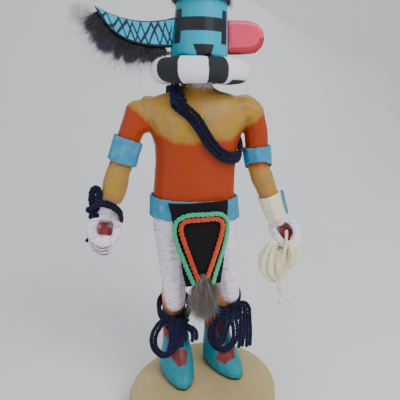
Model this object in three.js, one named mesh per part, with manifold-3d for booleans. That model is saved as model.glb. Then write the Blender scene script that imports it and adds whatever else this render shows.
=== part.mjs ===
// Kachina doll: a carved and painted cottonwood figure on a round base, dressed in leather, felt, yarn and fur.
// Millimetres, +Z up, the doll faces -Y. The origin is the middle of the base's underside.
// Right and left are the doll's own, so its right hand is at -X.

import * as THREE from 'three';
import { mergeVertices } from 'three/addons/utils/BufferGeometryUtils.js';
import Module from 'manifold-3d';

const wasm = await Module();
wasm.setup();

// Driving dimensions

const GAP = 0.3;                 // clearance between pieces that touch

const BASE_RADIUS = 51.5;
const BASE_HEIGHT = 20;
const BASE_ROUNDING = 3.2;       // radius of the worn rim
const STAND_BACK = 25;           // the figure stands this far behind the middle of the base

const FIGURE_HEIGHT = 259;       // soles to the top of the mask
const DRAWN_HEIGHT = 259;        // the height at which the figure's proportions below are written

const LEATHER = 1.6;             // armbands, belt and cuff
const FELT = 1.3;                // apron
const YARN = 2.9;                // diameter of the worsted yarn
const DOUBLED = 1.45;            // two yarns that hang together, as a share of one
const THONG = 2.4;               // diameter of the pouch's drawstring

const HORN_THICKNESS = 5;
const EAR_THICKNESS = 6.5;
const FRINGE_THICKNESS = 7;
const WOOL_LIFT = 2.8;           // the crown wool stands this far out from the mask
const WOOL_CROWN = 7;            // and this high above it
const RUFF_WIDTH = 17.8;         // across the stuffed tube
const RUFF_THICKNESS = 15.4;
const RUFF_RADIUS = 23;          // to the middle of the tube
const RUFF_ACROSS = 7.2;         // its middle, to the left of the base's

const ARMBAND_WIDTH = 16;
const CUFF_LENGTH = 17.5;
const STRIP_EASE = 0.5;          // slack of a leather strip round an arm
const BELT_EASE = 0.6;           // and of the belt round the hips
const CUFF_STRIP_WIDTH = 5;
const WRAP_EASE = 1;             // slack of the yarn tied round a wrist or a leg

// The figure's own measures: written at DRAWN_HEIGHT, kept as shares of FIGURE_HEIGHT

const SCALE = FIGURE_HEIGHT / DRAWN_HEIGHT;
const AXIS = new THREE.Vector3(0, 1, 0);

const point = (x, y, z) => new THREE.Vector3(x, y, z).multiplyScalar(SCALE);

// A cross-section of a limb or of the trunk: where it is, half its width and half its depth
const cut = (x, y, z, wide, deep) => ({ at: point(x, y, z), wide: wide * SCALE, deep: deep * SCALE });

const TRUNK = [
  cut(1.8, 0, 100, 22, 9),
  cut(1.8, 0, 104, 28.4, 14.6),
  cut(1.6, 0, 110, 29.5, 16.5),
  cut(1.5, 0, 118, 29.2, 17),
  cut(1.3, 0, 134, 27.7, 17),
  cut(2.3, 0, 146, 27.2, 17),
  cut(3.4, 0, 157, 27.1, 17.3),
  cut(4.2, 0, 167, 27.8, 17.9),
  cut(4.8, 0, 176, 31, 18.1),
  cut(5, 0, 184, 35, 17.4),
  cut(5, 0, 190.5, 36, 15.6),
  cut(5, 0, 195.5, 31, 13.2),
  cut(5, 0, 198.8, 23, 11.4),
  cut(4.8, 0, 200.8, 15, 10.3),
  cut(4.6, 0, 203.5, 10.3, 9.8),
  cut(6.3, 0, 211, 9.3, 9.3),
  cut(6.8, 0, 222, 9.3, 9.3),
];

const MASK = [
  cut(6.7, 0, 220.9, 17.2, 17.2),
  cut(6.8, 0, 221.8, 18.2, 18.2),
  cut(7.3, 0, 228, 17.9, 17.9),
  cut(8.4, 0, 240, 16.8, 16.8),
  cut(9.3, 0, 251, 15.9, 15.9),
  cut(9.7, 0, 256, 15.2, 15.2),
  cut(9.9, 0, 258.2, 13.6, 13.6),
  cut(10, 0, 259, 10.5, 10.5),
];

const RIGHT_ARM = [
  cut(-18, 0, 189, 8.5, 11),
  cut(-28, 0, 188, 9.4, 11),
  cut(-34.3, -0.5, 181.5, 8, 9.8),
  cut(-39.4, -1, 171, 7.2, 8.6),
  cut(-44.6, -1.5, 156, 7.2, 8),
  cut(-47.3, -2.5, 150, 7.3, 7.8),
  cut(-49.6, -3.5, 142, 8, 7.6),
  cut(-52, -3.8, 134, 6.9, 6.8),
  cut(-55.4, -3.6, 127, 6, 6.4),
  cut(-57.4, -4.5, 121, 5, 6.4),
];

const LEFT_ARM = [
  cut(28, 0, 189.5, 8.5, 11),
  cut(37.6, 0, 188.8, 9.6, 11),
  cut(43.6, -0.5, 181.5, 8.4, 9.8),
  cut(44.8, -1, 166, 8.4, 8.8),
  cut(46, -2, 153, 7.9, 8.2),
  cut(46.2, -3.5, 148.5, 7.6, 8),
  cut(48.8, -5, 141, 8.2, 7.6),
  cut(52.4, -6.6, 131, 6.6, 6.6),
  cut(57.6, -7, 116, 5.4, 6),
  cut(61, -6, 109, 4.8, 6),
];

const RIGHT_THIGH = [
  cut(-12.5, 0, 116, 14.6, 14.5),
  cut(-14, -0.5, 100, 12.7, 13),
  cut(-15.1, -1, 80, 9.8, 11.5),
  cut(-15.3, -2, 62, 8, 10),
  cut(-15.5, -3, 54.5, 7.3, 8.6),
  cut(-15, -3.6, 49.8, 5, 5.8),
  cut(-14.8, -3.8, 48.4, 2.4, 2.6),
];

const LEFT_THIGH = [
  cut(15.6, 0, 116, 15, 14.5),
  cut(18.8, -0.5, 100, 12.6, 13),
  cut(21.3, -1, 80, 10.2, 11.5),
  cut(23.7, -2, 64, 8.3, 10),
  cut(25, -3, 55.5, 7.3, 8.6),
  cut(25.3, -3.6, 50.6, 5, 5.8),
  cut(25.4, -3.8, 49.2, 2.4, 2.6),
];

const RIGHT_SHIN = [
  cut(-15.6, 0.5, 74, 8, 9),
  cut(-16, 1.2, 60, 8.4, 9),
  cut(-16, 1.6, 48, 8.6, 8.8),
  cut(-15.7, 2, 38, 8.2, 8.8),
  cut(-15.5, 2.6, 30, 8.2, 9),
];

const LEFT_SHIN = [
  cut(23.2, 0.5, 74, 8, 9),
  cut(22.4, 1.2, 60, 8.8, 9),
  cut(21, 1.6, 48, 9, 8.8),
  cut(18.4, 2, 38, 9, 8.8),
  cut(16.6, 2.6, 30, 8.8, 9),
];

// A moccasin's level sections: height, toe, heel, half the width, and how far its middle moves inwards
const MOCCASIN = [
  { z: 0, toe: -30.4, heel: 14.6, wide: 11.6, inward: 0 },
  { z: 1.2, toe: -31, heel: 15.2, wide: 12.1, inward: 0 },
  { z: 5, toe: -30.6, heel: 15.2, wide: 12.1, inward: 0 },
  { z: 8.5, toe: -27, heel: 15, wide: 11.7, inward: 0.2 },
  { z: 12, toe: -20.5, heel: 14.6, wide: 11.1, inward: 0.5 },
  { z: 16, toe: -15, heel: 14.2, wide: 10.4, inward: 0.8 },
  { z: 21, toe: -10.8, heel: 13.6, wide: 9.7, inward: 1 },
  { z: 28, toe: -8.2, heel: 12.8, wide: 9.3, inward: 1 },
  { z: 36, toe: -7.8, heel: 12.3, wide: 9.4, inward: 1 },
];
const MOCCASIN_TOE_POINT = 1.85;  // below 2 the toe runs to a blunt point
const MOCCASIN_HEEL_POINT = 2.3;
const RIGHT_FOOT = { at: point(-16.6, 0, 0), turned: 0.12, inward: 1 };
const LEFT_FOOT = { at: point(16.8, 0, 0), turned: 0.28, inward: -1 };

const FINGERS = 4;
const FINGER_PITCH = 4.1;        // from one finger's middle to the next
const FINGER_FULLNESS = 1.05;    // a finger's width as a share of the pitch: neighbours run together
const HAND_LEAN = 0.9;           // radians that the curled hand's bore points upwards

const RIGHT_SHOULDER = -29;      // the arms are parted from the trunk here
const LEFT_SHOULDER = 35.6;

const ARM_SIDES = 10;
const PALM_SIDES = 8;
const TRUNK_SIDES = 20;
const MASK_SIDES = 20;
const FOOT_SIDES = 14;
const LEG_SIDES = 10;
const FINGER_SIDES = 5;
const YARN_SIDES = 5;
const RUFF_SIDES = 20;
const BASE_SIDES = 32;
const WRAP_SIDES = 12;

// Solids

/** Turns a closed geometry into a solid that can be joined and cut. */
function solid(geometry) {
  const bare = geometry.clone();
  bare.deleteAttribute('normal');
  bare.deleteAttribute('uv');
  const merged = mergeVertices(bare, 1e-4);
  const body = new wasm.Manifold(new wasm.Mesh({
    numProp: 3,
    vertProperties: new Float32Array(merged.attributes.position.array),
    triVerts: new Uint32Array(merged.index.array),
  }));
  return body.volume() < 0 ? solid(flipped(merged)) : body;
}

/** The same geometry with its faces turned to the other side. */
function flipped(geometry) {
  const index = Array.from(geometry.index.array);
  for (let i = 0; i < index.length; i += 3) {
    [index[i], index[i + 1]] = [index[i + 1], index[i]];
  }
  geometry.setIndex(index);
  return geometry;
}

/** A solid's surface as a geometry. */
function surface(body) {
  const mesh = body.getMesh();
  const geometry = new THREE.BufferGeometry();
  geometry.setAttribute('position', new THREE.BufferAttribute(new Float32Array(mesh.vertProperties), 3));
  geometry.setIndex(Array.from(mesh.triVerts));
  return geometry;
}

const join = (bodies) => bodies.reduce((all, next) => all.add(next));

/** A closed skin over a row of rings that have their points in the same order. */
function skin(rings) {
  const count = rings[0].length;
  const points = rings.flat();
  const index = [];
  for (let row = 0; row + 1 < rings.length; row += 1) {
    for (let i = 0; i < count; i += 1) {
      const next = (i + 1) % count;
      const low = row * count;
      const high = low + count;
      index.push(low + i, low + next, high + next, low + i, high + next, high + i);
    }
  }
  for (const [row, order] of [[0, 1], [rings.length - 1, -1]]) {
    const middle = rings[row].reduce((sum, p) => sum.add(p), new THREE.Vector3()).divideScalar(count);
    const centre = points.push(middle) - 1;
    for (let i = 0; i < count; i += 1) {
      const pair = [row * count + ((i + 1) % count), row * count + i];
      if (order < 0) pair.reverse();
      index.push(centre, ...pair);
    }
  }
  return new THREE.BufferGeometry().setFromPoints(points).setIndex(index);
}

/** A closed band: rings of four or more points, the last joined to the first. */
function hoop(rings) {
  const count = rings[0].length;
  const index = [];
  rings.forEach((ring, row) => {
    const low = row * count;
    const high = ((row + 1) % rings.length) * count;
    for (let i = 0; i < count; i += 1) {
      const next = (i + 1) % count;
      index.push(low + i, low + next, high + next, low + i, high + next, high + i);
    }
  });
  return new THREE.BufferGeometry().setFromPoints(rings.flat()).setIndex(index);
}

/** The angles of a ring's corners. */
const turns = (sides) => Array.from({ length: sides }, (_, i) => (2 * Math.PI * i) / sides);

/** A level ring of a trunk section. */
function levelRing(section, sides, grow = 0) {
  return turns(sides).map((turn) => new THREE.Vector3(
    section.at.x + (section.wide + grow) * Math.sin(turn),
    section.at.y - (section.deep + grow) * Math.cos(turn),
    section.at.z,
  ));
}

/** A column of level sections, grown by a clearance. */
function column(sections, sides, grow = 0) {
  const rings = sections.map((section) => levelRing(section, sides, grow));
  rings[0].forEach((p) => { p.z -= grow; });
  rings[rings.length - 1].forEach((p) => { p.z += grow; });
  return solid(skin(rings));
}

/** The section of a column at a height. */
function sectionAt(sections, z) {
  const above = Math.max(1, sections.findIndex((section) => section.at.z >= z));
  const [low, high] = [sections[above - 1], sections[above]];
  const share = (z - low.at.z) / (high.at.z - low.at.z);
  return {
    at: low.at.clone().lerp(high.at, share),
    wide: THREE.MathUtils.lerp(low.wide, high.wide, share),
    deep: THREE.MathUtils.lerp(low.deep, high.deep, share),
  };
}

/** A limb: smooth between its sections, each square to the way that the limb runs. */
class Limb {
  constructor(sections, side = AXIS) {
    this.side = side;
    this.count = sections.length - 1;
    this.path = new THREE.CatmullRomCurve3(sections.map((section) => section.at), false, 'catmullrom', 0.5);
    this.sizes = new THREE.CatmullRomCurve3(
      sections.map((section) => new THREE.Vector3(section.wide, section.deep, 0)),
      false, 'catmullrom', 0.5,
    );
  }

  /** The point of the skin at a share of the way along and a turn, out from the skin by grow. */
  onSkin(share, turn, grow = 0) {
    const middle = this.path.getPoint(share);
    const ahead = this.path.getTangent(share);
    const deepWay = this.side.clone().addScaledVector(ahead, -ahead.dot(this.side)).normalize();
    const wideWay = new THREE.Vector3().crossVectors(deepWay, ahead).normalize();
    const size = this.sizes.getPoint(share);
    return middle
      .addScaledVector(wideWay, (size.x + grow) * Math.cos(turn))
      .addScaledVector(deepWay, (size.y + grow) * Math.sin(turn));
  }

  /** The ring at a share of the way along. */
  ring(share, sides, grow = 0) {
    return turns(sides).map((turn) => this.onSkin(share, turn, grow));
  }

  /** The whole limb as a solid. */
  body(sides, steps, grow = 0) {
    const rings = Array.from({ length: steps + 1 }, (_, i) => this.ring(i / steps, sides, grow));
    return solid(skin(rings));
  }

  /** A strip of leather wrapped round the limb between two shares of its length. */
  sleeve(from, to, thickness, sides, rows) {
    const rings = turns(sides).map((_, i) => {
      const outer = [];
      const inner = [];
      for (let row = 0; row <= rows; row += 1) {
        const share = from + ((to - from) * row) / rows;
        outer.push(this.ring(share, sides, STRIP_EASE + thickness)[i]);
        inner.unshift(this.ring(share, sides, STRIP_EASE)[i]);
      }
      return [...outer, ...inner];
    });
    return solid(hoop(rings));
  }

  /** The share of the way along at which the limb passes a height. */
  shareAtHeight(z) {
    let share = 0;
    while (share < 1 && this.path.getPoint(share).z > z) share += 0.002;
    return share;
  }
}

/** A round yarn or thong along chosen points. */
function strand(points, diameter, steps, sides = YARN_SIDES) {
  const path = new THREE.CatmullRomCurve3(points, false, 'centripetal');
  const section = new THREE.Shape(turns(sides).map((turn) => new THREE.Vector2(
    (diameter / 2) * Math.cos(turn),
    (diameter / 2) * Math.sin(turn),
  )));
  return solid(new THREE.ExtrudeGeometry(section, { steps, bevelEnabled: false, extrudePath: path }));
}

/** A knot: a rounded lump. */
function lump(at, wide, deep, high) {
  const ball = new THREE.SphereGeometry(1, 8, 5);
  ball.scale(wide / 2, deep / 2, high / 2);
  ball.translate(at.x, at.y, at.z);
  return solid(ball);
}

/** A flat shape in the plane of X and Z, given its thickness about a depth y, with eased edges. */
function plate(outline, y, thickness, ease, curveSegments = 5) {
  const geometry = new THREE.ExtrudeGeometry(outline, {
    depth: thickness - 2 * ease,
    bevelThickness: ease,
    bevelSize: ease,
    bevelOffset: -ease,
    bevelSegments: 2,
    curveSegments,
  });
  geometry.rotateX(Math.PI / 2);
  geometry.translate(0, y + thickness / 2 - ease, 0);
  return solid(geometry);
}

// The carving: one piece of cottonwood, from the soles to the top of the mask

/** One moccasin, level section by level section. */
function moccasin(foot, grow) {
  const rings = MOCCASIN.map(({ z, toe, heel, wide, inward }) => turns(FOOT_SIDES).map((turn) => {
    const across = Math.sin(turn);
    const along = -Math.cos(turn);
    const power = along < 0 ? MOCCASIN_TOE_POINT : MOCCASIN_HEEL_POINT;
    const x = Math.sign(across) * Math.abs(across) ** (2 / power) * (wide * SCALE + grow);
    const y = Math.sign(along) * Math.abs(along) ** (2 / power);
    const reach = along < 0 ? -toe * SCALE + grow : heel * SCALE + grow;
    return new THREE.Vector3(x + foot.inward * inward * SCALE, y * reach, z * SCALE)
      .applyAxisAngle(new THREE.Vector3(0, 0, 1), foot.turned)
      .add(foot.at);
  }));
  return solid(skin(rings));
}

/** The curled hand's own directions: across, up and along the bore, with the bore pointing at the viewer. */
class Hand {
  constructor(middle, mirrored, tilt) {
    this.middle = middle;
    this.mirrored = mirrored;
    const turn = new THREE.Matrix4().makeRotationY(tilt);
    const lean = new THREE.Matrix4().makeRotationX(-HAND_LEAN);
    turn.multiply(lean);
    this.across = new THREE.Vector3(mirrored, 0, 0).applyMatrix4(turn);
    this.up = new THREE.Vector3(0, 0, 1).applyMatrix4(turn);
    this.bore = new THREE.Vector3(0, -1, 0).applyMatrix4(turn);
  }

  /** A section of a finger, in the hand's own directions: across, up, along the bore. */
  cut(across, up, along, wide, deep) {
    return { at: this.place(across, up, along), wide: wide * SCALE, deep: deep * SCALE };
  }

  place(across, up, along) {
    return this.middle.clone()
      .addScaledVector(this.across, across * SCALE)
      .addScaledVector(this.up, up * SCALE)
      .addScaledVector(this.bore, along * SCALE);
  }

  /** Palm, thumb and four curled fingers round an open bore. */
  body(grow) {
    const half = (FINGER_PITCH / 2) * FINGER_FULLNESS;
    const palm = new Limb([
      this.cut(0.4, 12, 2.6, 6, 2.6),
      this.cut(0.4, 12.2, 0.6, 8.8, 4.6),
      this.cut(0, 12.4, -7, 9.2, 5),
      this.cut(-0.8, 12, -13.4, 8, 4.6),
      this.cut(-1, 11.6, -15.4, 5.4, 3),
    ], this.up).body(PALM_SIDES, 5, grow);
    const thumb = new Limb([
      this.cut(4.6, 13.4, -1.6, 3, 3),
      this.cut(7.2, 9, -0.6, 3.3, 3.2),
      this.cut(7.7, 3, 0.6, 3.1, 3),
      this.cut(7, -3.4, 1.6, 2.9, 2.8),
      this.cut(5.7, -8.8, 2.2, 2.4, 2.2),
      this.cut(5, -11.4, 2.4, 1.2, 1.1),
    ], this.bore).body(FINGER_SIDES, 6, grow);
    const fingers = Array.from({ length: FINGERS }, (_, i) => {
      const along = -i * FINGER_PITCH;
      const slim = 1 - 0.07 * i;
      return new Limb([
        this.cut(-4.8, 12, along, 3.8 * slim, half),
        this.cut(-7.4, 7.4, along, 3.9 * slim, half),
        this.cut(-7.7, 1.4, along, 3.8 * slim, half),
        this.cut(-5.3, -5, along, 3.7 * slim, half),
        this.cut(-0.6, -8.2, along, 3.5 * slim, half),
        this.cut(3, -7.9, along, 2.9 * slim, half * 0.85),
        this.cut(4.4, -7.2, along, 1.5, half * 0.5),
      ], this.bore).body(FINGER_SIDES, 6, grow);
    });
    return join([palm, thumb, ...fingers]);
  }
}

const rightArm = new Limb(RIGHT_ARM);
const leftArm = new Limb(LEFT_ARM);
const rightHand = new Hand(point(-57.6, -14.5, 115.2), 1, 0.1);
const leftHand = new Hand(point(64.6, -14, 103), -1, -0.42);

/** The whole carving, grown by a clearance for cutting what fits against it. */
function carving(grow = 0) {
  const legs = [RIGHT_THIGH, LEFT_THIGH, RIGHT_SHIN, LEFT_SHIN];
  return join([
    column(TRUNK, TRUNK_SIDES, grow),
    column(MASK, MASK_SIDES, grow),
    ...legs.map((sections) => new Limb(sections).body(LEG_SIDES, sections.length, grow)),
    moccasin(RIGHT_FOOT, grow),
    moccasin(LEFT_FOOT, grow),
    rightArm.body(ARM_SIDES, 11, grow),
    leftArm.body(ARM_SIDES, 11, grow),
    rightHand.body(grow),
    leftHand.body(grow),
  ]);
}

const clearance = carving(GAP);

/** The carving parted by a cut as wide as the clearance at each shoulder: trunk, right arm and left arm. */
function parts() {
  const whole = carving();
  const beyond = (body, way, x) => body.trimByPlane([way, 0, 0], way * x * SCALE + GAP / 2);
  return {
    body: beyond(beyond(whole, 1, RIGHT_SHOULDER), -1, LEFT_SHOULDER),
    rightArm: beyond(whole, -1, RIGHT_SHOULDER),
    leftArm: beyond(whole, 1, LEFT_SHOULDER),
  };
}

// The base

function baseDisc() {
  const foot = 0.8;
  const profile = [new THREE.Vector2(0, 0), new THREE.Vector2(BASE_RADIUS - foot, 0), new THREE.Vector2(BASE_RADIUS, foot)];
  for (let i = 0; i <= 3; i += 1) {
    const turn = (Math.PI / 2) * (i / 3);
    profile.push(new THREE.Vector2(
      BASE_RADIUS - BASE_ROUNDING + BASE_ROUNDING * Math.cos(turn),
      BASE_HEIGHT - BASE_ROUNDING + BASE_ROUNDING * Math.sin(turn),
    ));
  }
  profile.push(new THREE.Vector2(0, BASE_HEIGHT));
  return solid(new THREE.LatheGeometry(profile, BASE_SIDES).rotateX(Math.PI / 2));
}

// The mask's trimmings

/** The mask's section at a height above the soles. */
const maskAt = (z) => sectionAt(MASK, z * SCALE);

/** The ruff: a stuffed ring round the neck, flattened where the mask rests on it. */
function ruff() {
  const top = 220.7 * SCALE;
  const section = turns(8).map((turn) => new THREE.Vector2(
    RUFF_RADIUS + (RUFF_WIDTH / 2) * Math.sign(Math.cos(turn)) * Math.abs(Math.cos(turn)) ** 0.85,
    (RUFF_THICKNESS / 2) * Math.sign(Math.sin(turn)) * Math.abs(Math.sin(turn)) ** 0.85,
  ));
  const ring = new THREE.LatheGeometry([...section, section[0]], RUFF_SIDES).rotateX(Math.PI / 2);
  ring.translate(RUFF_ACROSS * SCALE, 0, top - GAP - RUFF_THICKNESS / 2);
  return solid(ring).subtract(clearance);
}

/** A flat outline in figure millimetres, smoothed through its points. */
function outline(start, curves) {
  const shape = new THREE.Shape();
  shape.moveTo(start[0] * SCALE, start[1] * SCALE);
  for (const curve of curves) {
    const flat = curve.flatMap(([x, z]) => [x * SCALE, z * SCALE]);
    if (curve.length === 1) shape.lineTo(...flat);
    if (curve.length === 2) shape.quadraticCurveTo(...flat);
    if (curve.length === 3) shape.bezierCurveTo(...flat);
  }
  return shape;
}

/** The horn: a flat board that sweeps up to its tip, cut to the mask's round side. */
function horn() {
  const shape = outline([-4, 244.5], [
    [[-20, 238.5], [-35, 239.5], [-46, 244]],
    [[-50, 246.2], [-53, 247.2]],
    [[-50.5, 242]],
    [[-44, 230.5], [-34, 226], [-18, 226]],
    [[-4, 226.4]],
  ]);
  return plate(shape, -2 * SCALE, HORN_THICKNESS, 0.5).subtract(clearance);
}

/** The fur strip along the horn's lower edge, its lower side broken into locks. */
function hornFringe() {
  const shape = outline([-13.5, 224.4], [
    [[-34, 225], [-45, 230], [-52.5, 243.5]],
    [[-56, 246], [-60.5, 242]],
    [[-66, 240], [-71, 235.6]],
    [[-68, 231.5]],
    [[-64, 229], [-62, 224.6]],
    [[-55, 224], [-50.6, 218.6]],
    [[-46.5, 221]],
    [[-44, 217.6]],
    [[-40, 219], [-36.7, 215.4]],
    [[-33.5, 217]],
    [[-31, 209.5]],
    [[-27.5, 215]],
    [[-24, 217.4]],
    [[-22, 221.5], [-13.8, 222.4]],
  ]);
  return plate(shape, -2 * SCALE, FRINGE_THICKNESS, 0.6, 3);
}

/** White down behind the horn's tip. */
function hornTuft() {
  const puff = new THREE.IcosahedronGeometry(1, 1);
  puff.scale(7.6 * SCALE, 3.6 * SCALE, 4.4 * SCALE);
  puff.rotateY(0.35);
  puff.translate(-61 * SCALE, 2.6 * SCALE, 241.2 * SCALE);
  const behind = plate(outline([-80, 220], [[[-80, 260]], [[-40, 260]], [[-40, 220]]]),
    -14 * SCALE, 24 * SCALE + FRINGE_THICKNESS + 2 * GAP, 0);
  return solid(puff).subtract(behind);
}

/** The small cream roll under the horn's root. */
function hornPeg() {
  const side = maskAt(223.6);
  const root = side.at.x - side.wide;
  const roll = new THREE.CylinderGeometry(1.5 * SCALE, 1.2 * SCALE, 9 * SCALE, 10);
  roll.rotateZ(Math.PI / 2);
  roll.translate(root - 3.5 * SCALE, -2 * SCALE + FRINGE_THICKNESS / 2 + 2 * SCALE, 223.4 * SCALE);
  return solid(roll).subtract(clearance);
}

/** The ear: a thick paddle with a round end, cut to the mask's round side. */
function ear() {
  const shape = outline([20, 243.8], [
    [[38, 244.2]],
    [[50.5, 244.6], [53.6, 230], [44, 225]],
    [[38, 223.2], [20, 223.4]],
  ]);
  return plate(shape, 0, EAR_THICKNESS, 2.2).subtract(clearance);
}

/** Dark wool that covers the top of the mask and hangs a little over its rim. */
function crownWool() {
  const sides = MASK_SIDES;
  const top = MASK[MASK.length - 1];
  const rim = maskAt(252.4);
  const mid = maskAt(256);
  const grown = (section, z, grow, share = 1) => levelRing({
    at: new THREE.Vector3(section.at.x, section.at.y, z),
    wide: (section.wide + grow) * share,
    deep: (section.deep + grow) * share,
  }, sides);
  const pocketTop = top.at.z + GAP;
  return solid(skin([
    grown(mid, pocketTop, GAP, 0.5),
    grown(mid, pocketTop, GAP),
    grown(rim, rim.at.z, GAP),
    grown(rim, rim.at.z, WOOL_LIFT * 0.7),
    grown(rim, rim.at.z + WOOL_LIFT, WOOL_LIFT),
    grown(mid, top.at.z, WOOL_LIFT),
    grown(mid, top.at.z + WOOL_CROWN * 0.6, 0, 0.86),
    grown(mid, top.at.z + WOOL_CROWN, 0, 0.3),
  ]));
}

// Leather

const armband = (arm, from, to) => arm.sleeve(from, to, LEATHER, ARM_SIDES, 2).subtract(clearance);

/** The share of the arm that lies a leather strip's width below a height. */
function stripAlong(arm, top, width) {
  const from = arm.shareAtHeight(top * SCALE);
  let to = from;
  while (to < 1 && arm.path.getPoint(from).distanceTo(arm.path.getPoint(to)) < width) to += 0.002;
  return [from, to];
}

const rightBand = stripAlong(rightArm, 171.6, ARMBAND_WIDTH);
const leftBand = stripAlong(leftArm, 164.2, ARMBAND_WIDTH * 0.86);
const cuffSpan = stripAlong(leftArm, 130.8, CUFF_LENGTH);

const wristCuff = () => armband(leftArm, ...cuffSpan);

/** The blue strip on the outer side of the cuff. */
function cuffStrip() {
  const [from, to] = cuffSpan;
  const end = (to - from) * 0.06;
  const middle = Math.PI + 0.25;
  const spread = CUFF_STRIP_WIDTH / leftArm.sizes.getPoint(from).x;
  const rings = [from + end, (from + to) / 2, to - end].map((share) => {
    const across = [-0.5, -0.17, 0.17, 0.5].map((part) => middle + part * spread);
    const inner = across.map((turn) => leftArm.onSkin(share, turn, STRIP_EASE + 2 * GAP + LEATHER));
    const outer = across.reverse().map((turn) => leftArm.onSkin(share, turn, STRIP_EASE + 2 * GAP + 2 * LEATHER));
    return [...inner, ...outer];
  });
  return solid(skin(rings));
}

/** The trunk's section at a height, and the point of its skin at a turn, lifted off it. */
const trunkAt = (z) => sectionAt(TRUNK, z * SCALE);

function onTrunk(z, turn, lift) {
  const section = trunkAt(z);
  return new THREE.Vector3(
    section.at.x + (section.wide + lift) * Math.sin(turn),
    section.at.y - (section.deep + lift) * Math.cos(turn),
    z * SCALE,
  );
}

/** The belt: higher on the right hip, deeper on the left one. */
function belt() {
  const sides = TRUNK_SIDES;
  const rings = turns(sides).map((turn) => {
    const left = Math.sin(turn);
    const top = 131.6 - 1.7 * left + 0.8 * (1 - Math.cos(turn));
    const bottom = 117.4 - 2.6 * left;
    const rows = [top, bottom];
    const outer = rows.map((z) => onTrunk(z, turn, BELT_EASE + LEATHER));
    const inner = rows.reverse().map((z) => onTrunk(z, turn, BELT_EASE));
    return [...outer, ...inner];
  });
  return solid(hoop(rings)).subtract(clearance);
}

// The apron

const APRON_TOP = 131.4;
const APRON_FOOT = 74;
const APRON_TOP_SIDES = [-18, 20.9];
const APRON_FOOT_SIDES = [-9.2, 14.8];

/** Depth of the apron's back at a place: round the belt at its top, flatter towards its foot. */
function apronBack(x, z) {
  const waist = trunkAt(124);
  const lift = BELT_EASE + LEATHER + GAP;
  const share = Math.min(1, Math.max(0, (APRON_TOP * SCALE - z) / ((APRON_TOP - APRON_FOOT) * SCALE)));
  const across = (x - waist.at.x) / (waist.wide + lift);
  const round = (waist.deep + lift) * (1 - Math.sqrt(Math.max(0, 1 - across * across)));
  return waist.at.y - (waist.deep + lift) - 0.6 * Math.sin(Math.PI * share) + round * (1 - 0.7 * share);
}

const apronFront = (x, z) => apronBack(x, z) - FELT;

/** The felt panel: a grid of front points, the same grid of back points and the edges between them. */
function apron() {
  const columns = 6;
  const rows = 6;
  const points = [];
  for (const depth of [apronFront, apronBack]) {
    for (let row = 0; row <= rows; row += 1) {
      const share = row / rows;
      const z = THREE.MathUtils.lerp(APRON_TOP, APRON_FOOT, share) * SCALE;
      const left = THREE.MathUtils.lerp(APRON_TOP_SIDES[0], APRON_FOOT_SIDES[0], share ** 0.9) * SCALE;
      const right = THREE.MathUtils.lerp(APRON_TOP_SIDES[1], APRON_FOOT_SIDES[1], share ** 1.3) * SCALE;
      for (let column = 0; column <= columns; column += 1) {
        const x = THREE.MathUtils.lerp(left, right, column / columns);
        points.push(new THREE.Vector3(x, depth(x, z), z));
      }
    }
  }
  const index = [];
  const quad = (a, b, c, d) => index.push(a, b, c, a, c, d);
  const front = (row, column) => row * (columns + 1) + column;
  const back = (row, column) => (rows + 1) * (columns + 1) + front(row, column);
  for (let row = 0; row < rows; row += 1) {
    for (let column = 0; column < columns; column += 1) {
      quad(front(row, column), front(row + 1, column), front(row + 1, column + 1), front(row, column + 1));
      quad(back(row, column), back(row, column + 1), back(row + 1, column + 1), back(row + 1, column));
    }
    quad(front(row, 0), back(row, 0), back(row + 1, 0), front(row + 1, 0));
    quad(front(row, columns), front(row + 1, columns), back(row + 1, columns), back(row, columns));
  }
  for (let column = 0; column < columns; column += 1) {
    quad(front(0, column), front(0, column + 1), back(0, column + 1), back(0, column));
    quad(front(rows, column), back(rows, column), back(rows, column + 1), front(rows, column + 1));
  }
  return solid(new THREE.BufferGeometry().setFromPoints(points).setIndex(index));
}

/** A yarn glued on the apron, through chosen points of its face. */
function apronYarn(route, steps) {
  const points = route.map(([x, z]) => {
    const [fx, fz] = [x * SCALE, z * SCALE];
    return new THREE.Vector3(fx, apronFront(fx, fz) - GAP - YARN / 2, fz);
  });
  return strand(points, YARN, steps);
}

const GREEN_ROUTE = [[-4, 75.8], [-8.9, 90], [-14, 106], [-14.9, 116], [-11.8, 121.7], [-4.5, 124.3],
  [6, 124.1], [14.6, 123.4], [19.2, 119], [19.6, 113], [16.7, 99.8], [11.8, 85.6], [8.8, 75]];
const RED_ROUTE = [[-1.2, 79.4], [-6.4, 96.4], [-10, 109.2], [-10.9, 116.2], [-7.9, 120.2], [0.4, 120.8],
  [12, 120.4], [16.2, 117], [15.6, 110.4], [11.3, 97.2], [5.1, 80]];

/** The fur tail that hangs at the apron's foot. */
function furTail() {
  const face = apronFront(2 * SCALE, APRON_FOOT * SCALE) - GAP;
  const hair = (x, above, wide, deep, y) => ({
    at: new THREE.Vector3(x * SCALE, y, (APRON_FOOT + above) * SCALE),
    wide: wide * SCALE,
    deep,
  });
  return column([
    hair(0.4, -28.6, 0.8, 0.7, face + 2.6),
    hair(0.6, -24, 3.4, 2, face + 2),
    hair(1.6, -16, 6.6, 3, face + 1.4),
    hair(2.6, -8, 8.8, 3.2, face + 1),
    hair(2.7, -2.4, 8.9, 2.6, face + 0.6),
    hair(2.5, -0.6, 6.6, 1.6, face - 1.6),
    hair(2.4, 1, 4, 1.4, face - 1.4),
    hair(2.1, 5, 1.6, 1.3, face - 1.3),
    hair(2, 8.4, 1, 0.9, face - 0.9),
  ], 10);
}

// Yarn

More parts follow.
